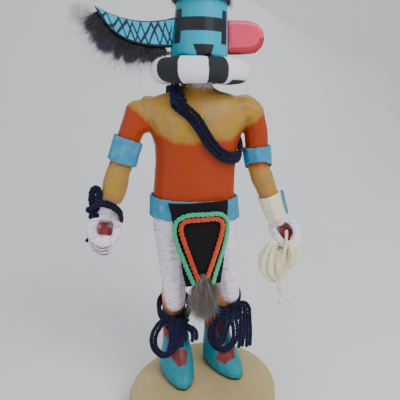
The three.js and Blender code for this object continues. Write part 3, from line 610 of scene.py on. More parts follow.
def write_numbers(mesh: bpy.types.Mesh, numbers: dict) -> None:
    """Writes numbers on a mesh's points.

    Args:
        mesh: The mesh.
        numbers: One array for each name.
    """
    for name, values in numbers.items():
        layer = mesh.attributes.new(name, "FLOAT", "POINT")
        layer.data.foreach_set("value", np.asarray(values, dtype=np.float32))


def new_mesh(name: str, shape: Shape) -> bpy.types.Mesh:
    """Makes a mesh.

    Args:
        name: Its name.
        shape: Its points and faces, in metres.

    Returns:
        The mesh.
    """
    mesh = bpy.data.meshes.new(name)
    mesh.from_pydata(shape.points.tolist(), [], shape.faces)
    return mesh


def new_object(name: str, data: bpy.types.ID) -> bpy.types.Object:
    """Makes an object and links it to the scene.

    Args:
        name: Its name.
        data: Its mesh, lamp or camera.

    Returns:
        The object.
    """
    made = bpy.data.objects.new(name, data)
    bpy.context.scene.collection.objects.link(made)
    return made


@dataclass(frozen=True)
class Studio:
    """What every piece needs to be made: its materials and the way to place it."""

    palette: Palette

    def place(self, name: str, shape: Shape, slot: Slot, nodes: Sequence[str] = ()) -> bpy.types.Object:
        """Makes an object of a shape in metres, and puts it in the model.

        Args:
            name: Its name.
            shape: Its points and faces.
            slot: Its material slot.
            nodes: Nodes of the frame that it stands for.

        Returns:
            The object.
        """
        mesh = new_mesh(name, shape)
        mesh.validate()
        if len(mesh.vertices) == len(shape.points):
            write_numbers(mesh, shape.numbers)
        mesh.polygons.foreach_set("use_smooth", [True] * len(mesh.polygons))
        return self.join(new_object(name, mesh), slot, nodes)

    def join(self, made: bpy.types.Object, slot: Slot, nodes: Sequence[str]) -> bpy.types.Object:
        """Gives an object its material and its place in the model.

        Args:
            made: The object.
            slot: Its material slot.
            nodes: Nodes of the frame that it stands for.

        Returns:
            The object.
        """
        made.data.materials.clear()
        made.data.materials.append(self.palette[slot])
        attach(made, "root")
        if nodes:
            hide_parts(*nodes)
        LOG.info("%s: %d points, %d faces", made.name, len(made.data.vertices), len(made.data.polygons))
        return made


def taken(nodes: Sequence[str], name: str, voxel_mm: float, rounds: int = 3,
          moved: Callable[[Points], Points] | None = None, extra: Sequence[Shape] = ()) -> bpy.types.Object:
    """Copies nodes of the frame into one finely meshed, softened object.

    Args:
        nodes: Nodes to copy.
        name: Name of the object.
        voxel_mm: Size of its mesh.
        rounds: Rounds of smoothing.
        moved: Change of the copied points before the meshing, in figure millimetres.
        extra: Closed shapes that are meshed with the nodes.

    Returns:
        The object.
    """
    parts = list(extra)
    for node in nodes:
        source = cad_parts[node].data
        points = vectors(source, "co")
        if moved:
            points = row(moved(points / MM - FIGURE_ORIGIN))
        parts.append(Shape(points, [list(face.vertices) for face in source.polygons], {}))
    made = new_object(name, new_mesh(name, join_mixed(parts)))
    remesh = made.modifiers.new("fine", "REMESH")
    remesh.mode = "VOXEL"
    remesh.voxel_size = voxel_mm * MM
    remesh.use_smooth_shade = True
    smooth = made.modifiers.new("soft", "SMOOTH")
    smooth.factor = 0.5
    smooth.iterations = rounds
    fine = bpy.data.meshes.new_from_object(made.evaluated_get(bpy.context.evaluated_depsgraph_get()))
    made.modifiers.clear()
    made.data = fine
    fine.name = name
    return made


def vectors(mesh: bpy.types.Mesh, what: str) -> Points:
    """Reads a vector of each of a mesh's points.

    Args:
        mesh: The mesh.
        what: "co" for the places or "normal" for the normals.

    Returns:
        One row for each point.
    """
    found = np.empty(len(mesh.vertices) * 3)
    mesh.vertices.foreach_get(what, found)
    return found.reshape(-1, 3)


def points_of(made: bpy.types.Object) -> Points:
    """The object's points, in figure millimetres."""
    return vectors(made.data, "co") / MM - FIGURE_ORIGIN


def move_points(made: bpy.types.Object, points: Points) -> None:
    """Writes new places of an object's points."""
    made.data.vertices.foreach_set("co", row(points).ravel())
    made.data.update()


def unit(ways: Points) -> Points:
    """The same directions, one long."""
    return ways / (np.linalg.norm(ways, axis=-1, keepdims=True) + 1e-12)


def run_of(path: Points) -> np.ndarray:
    """How far each of a path's points is from its start, along the path."""
    return np.concatenate([[0], np.cumsum(np.linalg.norm(np.diff(path, axis=0), axis=1))])


def full_turn(count: int) -> np.ndarray:
    """Even angles round a circle."""
    return np.linspace(0, 2 * math.pi, count, endpoint=False)


def smooth_path(points: Iterable, step: float, closed: bool = False) -> Points:
    """An evenly spaced path, smooth through chosen points.

    Args:
        points: The points, in figure millimetres.
        step: Distance between the path's points.
        closed: Whether it comes back to its start.

    Returns:
        The path.
    """
    knots = np.asarray(points, dtype=float)
    if closed:
        knots = np.concatenate([knots[-1:], knots, knots[:2]])
    else:
        knots = np.concatenate([2 * knots[:1] - knots[1:2], knots, 2 * knots[-1:] - knots[-2:-1]])
    share = np.linspace(0, 1, 24, endpoint=False)[:, None]
    spans = []
    for a, b, c, d in zip(knots, knots[1:], knots[2:], knots[3:]):
        spans.append(0.5 * (2 * b + (c - a) * share + (2 * a - 5 * b + 4 * c - d) * share**2
                            + (3 * b - a - 3 * c + d) * share**3))
    spans.append(knots[-2:-1])
    dense = np.concatenate(spans)
    run = run_of(dense)
    at = np.linspace(0, run[-1], max(3, round(run[-1] / step) + 1))
    even = np.stack([np.interp(at, run, dense[:, k]) for k in range(3)], axis=1)
    return even[:-1] if closed else even


def carried_frames(path: Points, closed: bool = False) -> tuple[Points, Points, Points]:
    """Directions along a path that turn as little as they can.

    Args:
        path: The path.
        closed: Whether it comes back to its start.

    Returns:
        Ahead, side and up for each of its points.
    """
    if closed:
        ahead = np.roll(path, -1, axis=0) - np.roll(path, 1, axis=0)
    else:
        ahead = np.gradient(path, axis=0)
    ahead = unit(ahead)
    side = np.cross(ahead[0], [0.3, -1.0, 0.2])
    sides = []
    for way in ahead:
        side = unit(side - np.dot(side, way) * way)
        sides.append(side)
    sides = np.array(sides)
    return ahead, sides, np.cross(ahead, sides)


def tube(path: Points, radii: np.ndarray, sides: int, closed: bool = False, tone: float = 0.5,
         flat: float = 1.0) -> Shape:
    """A round tube along a path.

    Args:
        path: Its middle line, in figure millimetres.
        radii: Its radius at each point.
        sides: Corners of its section.
        closed: Whether it is a ring.
        tone: Tone written on its points.
        flat: Height of its section as a share of its width.

    Returns:
        The tube, in metres.
    """
    _, side, up = carried_frames(path, closed)
    turn = full_turn(sides)
    radii = np.asarray(radii, dtype=float)[:, None, None]
    rings = path[:, None, :] + radii * (np.cos(turn)[None, :, None] * side[:, None, :]
                                        + flat * np.sin(turn)[None, :, None] * up[:, None, :])
    rows = len(path)
    low = np.arange(rows if closed else rows - 1)[:, None] * sides
    high = (low + sides) % (rows * sides)
    one = np.arange(sides)[None, :]
    two = (one + 1) % sides
    faces = np.stack([low + one, low + two, high + two, high + one], axis=-1).reshape(-1, 4).tolist()
    if not closed:
        faces += [list(range(sides))[::-1], [(rows - 1) * sides + i for i in range(sides)]]
    along = np.repeat(np.linspace(0, 1, rows), sides)
    return Shape(row(rings.reshape(-1, 3)), faces, {"along": along, "tone": np.full(rows * sides, tone)})


def join_mixed(shapes: Sequence[Shape]) -> Shape:
    """Puts shapes with faces of several sizes in one.

    Args:
        shapes: The shapes.

    Returns:
        One shape, with the numbers that all of them have.
    """
    faces, start = [], 0
    for shape in shapes:
        faces += [[i + start for i in face] for face in shape.faces]
        start += len(shape.points)
    names = [name for name in shapes[0].numbers if all(name in shape.numbers for shape in shapes)]
    return Shape(np.concatenate([shape.points for shape in shapes]), faces,
                 {name: np.concatenate([shape.numbers[name] for shape in shapes]) for name in names})


@dataclass(frozen=True)
class YarnKind:
    """How a yarn is spun."""

    diameter: float = YARN
    plies: int = 3
    pitch: float = 7.5
    step: float = 0.8
    fuzz_per_mm: float = 16.0
    fuzz_length: float = 1.5
    ply_sides: int = 6

    def along(self, path: Points, rng: np.random.Generator, closed: bool = False) -> Shape:
        """Twists the plies round a path and adds the loose fibres.

        Args:
            path: The yarn's middle line, in figure millimetres.
            rng: Source of chance.
            closed: Whether the path is a ring.

        Returns:
            The yarn, in metres.
        """
        ahead, side, up = carried_frames(path, closed)
        run = run_of(path)
        turn = 2 * math.pi * run / self.pitch
        if closed:
            turn = full_turn(len(path)) * max(1, round(run[-1] / self.pitch))
        ply = self.diameter * (0.30 if self.plies > 2 else 0.33)
        offset = self.diameter / 2 - ply * 0.98
        shapes = []
        for k in range(self.plies):
            phase = turn + 2 * math.pi * k / self.plies
            wave = offset * (1 + 0.1 * np.sin(run * 0.9 + k))
            line = path + wave[:, None] * (np.cos(phase)[:, None] * side + np.sin(phase)[:, None] * up)
            radii = ply * (1 + 0.06 * rng.standard_normal(len(path)))
            shapes.append(tube(line, radii, self.ply_sides, closed, 0.3 + 0.2 * k))
        shapes.append(self.fuzz(path, ahead, side, up, run[-1], rng))
        return join_mixed(shapes)

    def fuzz(self, path: Points, ahead: Points, side: Points, up: Points, length: float,
             rng: np.random.Generator) -> Shape:
        """Loose fibres that stand out from the yarn.

        Args:
            path: The yarn's middle line.
            ahead, side, up: Its directions.
            length: Its length.
            rng: Source of chance.

        Returns:
            The fibres, as thin ribbons, in metres.
        """
        count = max(1, int(length * self.fuzz_per_mm))
        at = rng.integers(0, len(path), count)
        turn = rng.uniform(0, 2 * math.pi, count)
        out = np.cos(turn)[:, None] * side[at] + np.sin(turn)[:, None] * up[at]
        round_way = -np.sin(turn)[:, None] * side[at] + np.cos(turn)[:, None] * up[at]
        lean = rng.uniform(-1.4, 1.4, (count, 1))
        curl = rng.uniform(-1.2, 1.2, (count, 1))
        long = self.fuzz_length * rng.uniform(0.35, 1.0, (count, 1))
        start = path[at] + ahead[at] * rng.uniform(-0.5, 0.5, (count, 1)) + out * self.diameter * 0.40
        middle = start + long * 0.5 * (0.55 * out + 0.5 * lean * ahead[at] + 0.6 * curl * round_way)
        end = middle + long * 0.5 * (0.35 * out + 0.7 * curl * ahead[at] - 0.6 * lean * round_way)
        wide = 0.05 * round_way
        points = np.stack([start - wide, start + wide, middle - wide, middle + wide, end], axis=1).reshape(-1, 3)
        base = np.arange(count)[:, None] * 5
        faces = (base + np.array([[0, 1, 3, 2]])).tolist() + (base + np.array([[2, 3, 4]])).tolist()
        return Shape(row(points), faces, {"along": np.tile([0.3, 0.3, 0.7, 0.7, 1.0], count),
                                          "tone": np.repeat(rng.uniform(0, 1, count), 5)})


def hairs(roots: Points, ways: Points, lengths: np.ndarray, widths: float, rng: np.random.Generator,
          curl: float = 0.25, drop: float = 0.0, joints: int = 4, clump: Points | None = None,
          gather: float = 0.0) -> Shape:
    """Thin tapered hairs.

    Args:
        roots: Where they grow, in figure millimetres.
        ways: The way that each grows.
        lengths: Length of each.
        widths: Width at the root.
        rng: Source of chance.
        curl: How much they bend at random.
        drop: How much they bend downwards.
        joints: Rings of each hair.
        clump: Point that each hair's tip is drawn to.
        gather: How strongly.

    Returns:
        The hairs, in metres.
    """
    count = len(roots)
    bend = rng.standard_normal((count, 3)) * curl
    wave = rng.standard_normal((count, 3)) * curl * 0.5
    ways = unit(ways)
    across = unit(np.cross(ways, rng.standard_normal((count, 3))))
    other = np.cross(ways, across)
    rings = []
    share = np.linspace(0, 1, joints)
    for t in share:
        middle = roots + lengths[:, None] * t * (ways + bend * t + wave * math.sin(4.5 * t))
        middle = middle + np.array([0, 0, -1.0]) * (drop * lengths[:, None] * t * t)
        if clump is not None:
            middle = middle + (clump - middle) * gather * t**1.5
        radius = widths * (1 - 0.8 * t) / 2
        rings.append(np.stack([middle + radius * across, middle + radius * (-0.5 * across + 0.87 * other),
                               middle + radius * (-0.5 * across - 0.87 * other)], axis=1))
    points = np.stack(rings, axis=1)
    base = (np.arange(count) * joints * 3)[:, None, None]
    low = (np.arange(joints - 1) * 3)[None, :, None]
    corner = np.arange(3)[None, None, :]
    turned = (corner + 1) % 3
    quads = np.stack([base + low + corner, base + low + turned, base + low + 3 + turned,
                      base + low + 3 + corner], axis=-1).reshape(-1, 4)
    along = np.tile(np.repeat(share, 3), count)
    tone = np.repeat(rng.uniform(0, 1, count), joints * 3)
    return Shape(row(points.reshape(-1, 3)), quads.tolist(), {"along": along, "tone": tone})


# The figure's sections: height, middle and half sizes


TRUNK = np.array([
    [100, 1.8, 22, 9], [104, 1.8, 28.4, 14.6], [110, 1.6, 29.5, 16.5], [118, 1.5, 29.2, 17], [134, 1.3, 27.7, 17],
    [146, 2.3, 27.2, 17], [157, 3.4, 27.1, 17.3], [167, 4.2, 27.8, 17.9], [176, 4.8, 31, 18.1],
    [184, 5, 35, 17.4], [190.5, 5, 36, 15.6], [195.5, 5, 31, 13.2], [198.8, 5, 23, 11.4], [200.8, 4.8, 15, 10.3],
    [203.5, 4.6, 10.3, 9.8], [211, 6.3, 9.3, 9.3], [222, 6.8, 9.3, 9.3],
])
RIGHT_THIGH = np.array([[48.4, -14.8, -3.8, 2.4, 2.6], [49.8, -15, -3.6, 5, 5.8], [54.5, -15.5, -3, 7.3, 8.6],
                        [62, -15.3, -2, 8, 10], [80, -15.1, -1, 9.8, 11.5], [100, -14, -0.5, 12.7, 13],
                        [116, -12.5, 0, 14.6, 14.5]])
LEFT_THIGH = np.array([[49.2, 25.4, -3.8, 2.4, 2.6], [50.6, 25.3, -3.6, 5, 5.8], [55.5, 25, -3, 7.3, 8.6],
                       [64, 23.7, -2, 8.3, 10], [80, 21.3, -1, 10.2, 11.5], [100, 18.8, -0.5, 12.6, 13],
                       [116, 15.6, 0, 15, 14.5]])
RIGHT_SHIN = np.array([[30, -15.5, 2.6, 8.2, 9], [38, -15.7, 2, 8.2, 8.8], [48, -16, 1.6, 8.6, 8.8],
                       [60, -16, 1.2, 8.4, 9], [74, -15.6, 0.5, 8, 9]])
LEFT_SHIN = np.array([[30, 16.6, 2.6, 8.8, 9], [38, 18.4, 2, 9, 8.8], [48, 21, 1.6, 9, 8.8],
                      [60, 22.4, 1.2, 8.8, 9], [74, 23.2, 0.5, 8, 9]])


def section_at(sections: Points, z: np.ndarray) -> list[np.ndarray]:
    """A limb's middle and half sizes at given heights."""
    return [np.interp(z, sections[:, 0], column) for column in sections[:, 1:].T]


def from_skin(sections: Points, p: Points) -> np.ndarray:
    """How far points lie from an upright limb's skin, roughly.

    Args:
        sections: Height, middle x and y, half width and half depth.
        p: Points, in figure millimetres.

    Returns:
        Millimetres, at least 0.
    """
    x, y, wide, deep = section_at(sections, p[:, 2])
    out = np.sqrt(((p[:, 0] - x) / wide) ** 2 + ((p[:, 1] - y) / deep) ** 2)
    return np.abs(out - 1) * (wide + deep) / 2


def on_trunk(z: float, turn: float, lift: float) -> list[float]:
    """A point of the trunk's skin."""
    x, wide, deep = section_at(TRUNK, z)
    return [x + (wide + lift) * math.sin(turn), -(deep + lift) * math.cos(turn), z]


@dataclass(frozen=True)
class CurledHand:
    """A curled hand's own directions: across, up and along its bore."""

    middle: tuple[float, float, float]
    mirrored: int
    tilt: float
    lean: float = 0.9
    finger_pitch: float = 4.1

    def axes(self) -> tuple[Points, Points, Points]:
        """The hand's directions.

        Returns:
            Across, up and along.
        """
        turn = Matrix.Rotation(self.tilt, 3, "Y") @ Matrix.Rotation(-self.lean, 3, "X")
        ways = [(self.mirrored, 0, 0), (0, 0, 1), (0, -1, 0)]
        return tuple(np.array(turn @ Vector(way)) for way in ways)

    def local(self, p: Points) -> tuple[np.ndarray, np.ndarray, np.ndarray]:
        """Points in the hand's own directions."""
        away = p - np.array(self.middle)
        return tuple(away @ way for way in self.axes())

    def place(self, across: float, up: float, along: float) -> list[float]:
        """A place given in the hand's own directions."""
        ways = self.axes()
        return (np.array(self.middle) + across * ways[0] + up * ways[1] + along * ways[2]).tolist()


RIGHT_HAND = CurledHand((-57.6, -14.5, 115.2), 1, 0.1)
LEFT_HAND = CurledHand((64.6, -14.0, 103.0), -1, -0.42)


@dataclass(frozen=True)
class Foot:
    """A moccasin's place on the base."""

    x: float
    turned: float

    def local(self, p: Points) -> tuple[np.ndarray, np.ndarray]:
        """Points in the foot's own directions.

        Args:
            p: Points, in figure millimetres.

        Returns:
            Across, and forwards from the ankle towards the toe.
        """
        x, y = p[:, 0] - self.x, p[:, 1]
        c, s = math.cos(self.turned), math.sin(self.turned)
        return x * c + y * s, -(-x * s + y * c)


def box_inside(a: np.ndarray, b: np.ndarray, a_span: tuple, b_span: tuple) -> np.ndarray:
    """Distance inside an upright rectangle."""
    return np.minimum(np.minimum(a - a_span[0], a_span[1] - a), np.minimum(b - b_span[0], b_span[1] - b))


OUTSIDE = -9.0
FAR_OUTSIDE = -99.0
MASK_FOOT = 220.8
MOCCASIN_TOP = 28.0
INSTEP = 10.8
RIGHT_CUT, LEFT_CUT = -29.15, 35.75  # where the CAD parts the arms from the trunk


def kept(here: np.ndarray, inside: np.ndarray) -> np.ndarray:
    """A region's distances where it may lie, and OUTSIDE elsewhere."""
    return np.where(here, inside, OUTSIDE)


def widen(found: dict, name: str, inside: np.ndarray) -> None:
    """Adds distances to a painted region, which may have some already."""
    found[name] = np.maximum(found.get(name, OUTSIDE), inside)


CHEST_LINE = np.array([
    [-48, 196], [-39.8, 193.1], [-33.6, 189.3], [-29.6, 185.3], [-26.5, 182], [-23.5, 176.7], [-18.8, 173.7],
    [-13.3, 171], [-9, 170.1], [-4.6, 169.8], [0.5, 169.6], [6, 170.6], [13.7, 171.2], [18.8, 170.8], [25, 171.3],
    [29.8, 174.3], [34.7, 177.1], [40, 181.1], [44.1, 184.2], [49.1, 187.6], [56, 192],
])


@dataclass
class Piece:
    """A sub-assembly of the doll."""

    studio: Studio

    def build(self) -> None:
        """Makes its objects, as each sub-assembly says."""
        raise NotImplementedError


@dataclass
class Carving(Piece):
    """Head, trunk, arms, legs and moccasins, carved and painted as one."""

    voxel: float = 0.9

    def build(self) -> None:
        """Makes the carving."""
        nodes = ("carved_body", "right_arm", "left_arm")
        made = taken(nodes, "carving", self.voxel, 5, self.close_shoulders, self.inner_hands())
        move_points(made, self.round_shoulders(points_of(made)))
        write_numbers(made.data, self.paint(points_of(made)))
        self.studio.join(made, Slot.PAINTED, nodes)

    @staticmethod
    def round_shoulders(p: Points) -> Points:
        """Fills out the tops of the shoulders.

        Args:
            p: Points, in figure millimetres.

        Returns:
            The points, raised and widened a little at the shoulders' outer corners.
        """
        p = p.copy()
        high = smoothstep(176, 192, p[:, 2])
        for corner, way, rise in ((-36.0, -1.0, 2.4), (43.0, 1.0, 1.4)):
            near = high * np.exp(-((p[:, 0] - corner) / 5.5) ** 2)
            p[:, 2] += rise * near
            p[:, 0] += 0.9 * way * near
        return p

    @staticmethod
    def inner_hands() -> list[Shape]:
        """The fingertips that curl in the hands' hollows, and the hollows' back walls.

        Returns:
            Closed shapes, in metres.
        """
        made = []
        for hand, stops, radius in (
            (RIGHT_HAND, ((0, 9, -10), (0, 3, -9.5), (0.5, -1.5, -9)), 5.4),
            (RIGHT_HAND, ((-6, -7, 0), (-3, -5.6, 0.4), (1.4, -5.4, 0), (4, -6.6, -0.4)), 2.9),
            (LEFT_HAND, ((0, 9, -10), (0, 3, -9.5), (0, -3, -9)), 5.4),
            (LEFT_HAND, ((-6, -5, -1), (-3.6, -4.6, -1.2), (-0.4, -5.4, -1.6)), 2.8),
        ):
            path = smooth_path([hand.place(*stop) for stop in stops], 0.6)
            made.append(tube(path, np.full(len(path), radius), 16))
        return made

    @staticmethod
    def close_shoulders(p: Points) -> Points:
        """Runs the trunk and the arms into each other at the shoulders.

        Args:
            p: Points, in figure millimetres.

        Returns:
            The points, with those of the arms' cuts moved into the trunk.
        """
        p = p.copy()
        for cut, inwards in ((RIGHT_CUT, 2.5), (LEFT_CUT, -2.5)):
            p[np.abs(p[:, 0] - cut) < 0.06, 0] += inwards
        return p

    def paint(self, p: Points) -> dict:
        """Distances inside each painted region.

        Args:
            p: Points, in figure millimetres.

        Returns:
            One array for each region.
        """
        x, y, z = p.T
        arm_right, arm_left = x < -29, x > 35.6
        arms = arm_right | arm_left
        below_band = np.where(arm_right, 157 - 0.38 * (x + 46) - z, np.where(arm_left, 151 - z, FAR_OUTSIDE))
        above = z - np.interp(x, *CHEST_LINE.T) + np.where(y > 4, -0.25 * (y - 4), 0)
        scallop = 3.4 * np.exp(-((x + 52.5) / 2.5) ** 2)
        found = {
            "ochre": np.maximum.reduce([above, below_band, np.where(arms, FAR_OUTSIDE, 100 - z)]),
            "ochre_rim": kept(below_band <= 0, 2.6 - np.abs(above - 1.4)),
            "rust_again": kept(arms, np.minimum(below_band, 3.6 - below_band) - 3 + scallop),
        }
        self.paint_legs(found, p)
        self.paint_hands(found, p)
        self.paint_feet(found, p)
        self.paint_mask(found, p)
        return found

    def paint_legs(self, found: dict, p: Points) -> None:
        """Adds the white thighs and their pink rims.

        Args:
            found: Regions found so far.
            p: Points, in figure millimetres.
        """
        x, _, z = p.T
        right = x < 4
        thigh = np.where(right, from_skin(RIGHT_THIGH, p), from_skin(LEFT_THIGH, p))
        shin = np.where(right, from_skin(RIGHT_SHIN, p), from_skin(LEFT_SHIN, p))
        nearer = np.where(z > 72, 6.0, shin - thigh)
        white = np.minimum.reduce([nearer, z - 49.6, 124 - z])
        found["white"] = kept((x >= -33) & (x <= 39), white)
        found["knee_rim"] = kept(z < 72, np.minimum(found["white"] + 1.9, 60 - z))

    def paint_hands(self, found: dict, p: Points) -> None:
        """Adds the white hands, the lines between the fingers, and the red palms with painted shade in the hollows.

        Args:
            found: Regions found so far.
            p: Points, in figure millimetres.
        """
        x, _, z = p.T
        for hand, here, wrist in ((RIGHT_HAND, x < -42, 131.0), (LEFT_HAND, x > 47, 117.0)):
            across, up, along = hand.local(p)
            widen(found, "white", kept(here, wrist - z))
            skin = here & (z < wrist)
            pitch = hand.finger_pitch
            between = pitch / 2 - np.abs((along + pitch / 2) % pitch - pitch / 2)
            outer = (up < 8) & (across < 3) & (along < 1.2) & (along > -13)
            widen(found, "finger_line", kept(skin & outer, 0.8 - between))
            bore = np.hypot(across / 5.4, (up - 1.2) / 7.4)
            # Red paint in the hollow, partly painted shade inside the bore.
            widen(found, "palm_paint_and_shade", kept(skin, (1.2 - bore) * 5 - np.maximum(along + 1, 0)))

    def paint_feet(self, found: dict, p: Points) -> None:
        """Adds the teal moccasins, their red tops, throats and instep patches.

        Args:
            found: Regions found so far.
            p: Points, in figure millimetres.
        """
        x, _, z = p.T
        feet = ((Foot(-16.6, 0.12), x < 0.5, 0.6, 6.4, 0.0), (Foot(16.8, 0.28), x >= 0.5, -2.0, 8.0, 1.4))
        for foot, here, shift, half_wide, toeward in feet:
            across, ahead = foot.local(p)
            aside = np.abs(across - shift)
            throat = 2.3 - aside - np.where((ahead > 6) & (ahead < 9.6), 0, 9)
            top = np.minimum(np.maximum(z - MOCCASIN_TOP, kept(z > 20, throat)), 39.7 - z)
            widen(found, "brick", kept(here, top))
            start = ahead - INSTEP - toeward
            half = half_wide - 0.42 * np.clip(start, 0, 9)
            trapezoid = np.minimum.reduce([half - aside, start, 19.5 + toeward - ahead])
            widen(found, "patch", kept(here & (z < 24), trapezoid))
        found["teal"] = np.minimum(MOCCASIN_TOP - z, np.where(found["brick"] > 0, -1.0, 9.0))

    def paint_mask(self, found: dict, p: Points) -> None:
        """Adds the mask's ground and the painted shade on its right, its eye band, side bars, mouth and the dark
        soles.

        Args:
            found: Regions found so far.
            p: Points, in figure millimetres.
        """
        x, y, z = p.T
        heights = [221, 228, 240, 251, 259]
        middle = np.interp(z, heights, [6.8, 7.3, 8.4, 9.3, 10])
        size = np.interp(z, heights, [18.2, 17.9, 16.8, 15.9, 15])
        turn = np.arctan2(x - middle, -y)
        found["mask"] = z - MASK_FOOT
        # Painted shade: share of darker teal, growing towards the mask's right side.
        found["mask_shaded_side"] = np.clip(-turn / 1.5, 0, 1)
        band, bars = (234.9, 242.6), (228, 247.4)
        spans = (((-21.6, 17.9), band), ((-21.6, -15.2), bars), ((11.7, 17.9), bars))
        slope = np.interp(z, [220.9, 227.5], [4.0, 6.4])
        mouth = np.minimum.reduce([slope - np.abs(x - 7.1), z - 220.9, 227.4 - z])
        black = np.maximum.reduce([*(box_inside(turn * size, z, *span) for span in spans), kept(y < 0, mouth)])
        found["black"] = np.maximum(kept(z > MASK_FOOT, black), kept(z < 10, 2.0 - z))


@dataclass
class Base(Piece):
    """The round base of bare cottonwood."""

    def build(self) -> None:
        """Makes the base, with a rim that isn't quite even."""
        made = taken(("base_disc",), "base_disc_wood", 1.35, 4)
        p = points_of(made)
        y = p[:, 1] + FIGURE_ORIGIN[1]
        turn = np.arctan2(y, p[:, 0])
        wave = 0.18 * np.sin(3 * turn + 0.6) + 0.1 * np.sin(7 * turn)
        rim = smoothstep(30, 50, np.hypot(p[:, 0], y))
        p[:, :2] *= (1 - 0.003 * rim * (1 + wave))[:, None]
        move_points(made, p)
        self.studio.join(made, Slot.WOOD, ("base_disc",))


@dataclass
class Ruff(Piece):
    """The stuffed and painted ring round the neck."""

    middle: tuple[float, float, float] = (7.2, 0.0, 212.7)
    radius: float = 22.3
    wide: float = 17.6
    high: float = 15.2

    def build(self) -> None:
        """Makes the ruff: a full tube with soft dents, its panels marked by their turn."""
        turns, sides = 216, 60
        turn, round_way = full_turn(turns)[:, None], full_turn(sides)[None, :]
        dent = 0.25 * np.sin(5 * turn + 1) * np.cos(2 * round_way) + 0.16 * np.sin(11 * turn + 2 * round_way)
        c, s = np.cos(round_way), np.sin(round_way)
        out = self.radius + (self.wide / 2 + dent) * np.sign(c) * np.abs(c) ** 0.85
        up = (self.high / 2 + dent) * np.sign(s) * np.abs(s) ** 0.85 + 0 * turn
        x = self.middle[0] + out * np.sin(turn)
        y = self.middle[1] - out * np.cos(turn)
        z = self.middle[2] + np.minimum(up, self.high / 2)
        points = np.stack([x, y, z], axis=-1).reshape(-1, 3)
        index = np.arange(turns * sides).reshape(turns, sides)
        ahead, next_side = np.roll(index, -1, axis=0), np.roll(index, -1, axis=1)
        faces = np.stack([index, ahead, np.roll(ahead, -1, axis=1), next_side], axis=-1).reshape(-1, 4)
        front = np.degrees((turn + 0 * round_way + math.pi) % (2 * math.pi) - math.pi).ravel()
        below = points[:, 2] - self.middle[2]
        lower = kept((front > 30) & (front < 112), -4.3 - 0.8 * below)
        ring = Shape(row(points), faces.tolist(), {"second": self.panels(front), "third": lower})
        self.studio.place("ruff_ring", ring, Slot.RUFF, ("ruff",))

    def panels(self, degrees: np.ndarray) -> np.ndarray:
        """Distance inside the dark panels.

        Args:
            degrees: Turn from the front.

        Returns:
            Millimetres round the ring's outside.
        """
        panels = ((-62, -32.6), (0.3, 23.9), (80, 112), (138, 166), (-132, -100))
        insides = [np.minimum(degrees - low, high - degrees) * 0.5 for low, high in panels]
        return np.maximum(np.maximum.reduce(insides), OUTSIDE)


HORN_ROOT = -9
FUR_ANGLE = ([0, 0.3, 0.6, 0.85, 1], [-1.7, -1.8, -2.15, -2.5, -2.2])
FUR_LENGTH = ([0, 0.15, 0.35, 0.6, 0.8, 1], [3.4, 6.5, 9.8, 11.8, 12.4, 8.4])
WISP_ANGLE = ([0, 0.3, 0.6, 0.85, 1], [-1.9, -1.85, -2.25, -2.75, -2.5])
WISP_LENGTH = ([0, 0.3, 0.7, 0.9, 1], [5, 12.5, 13, 11.5, 8])


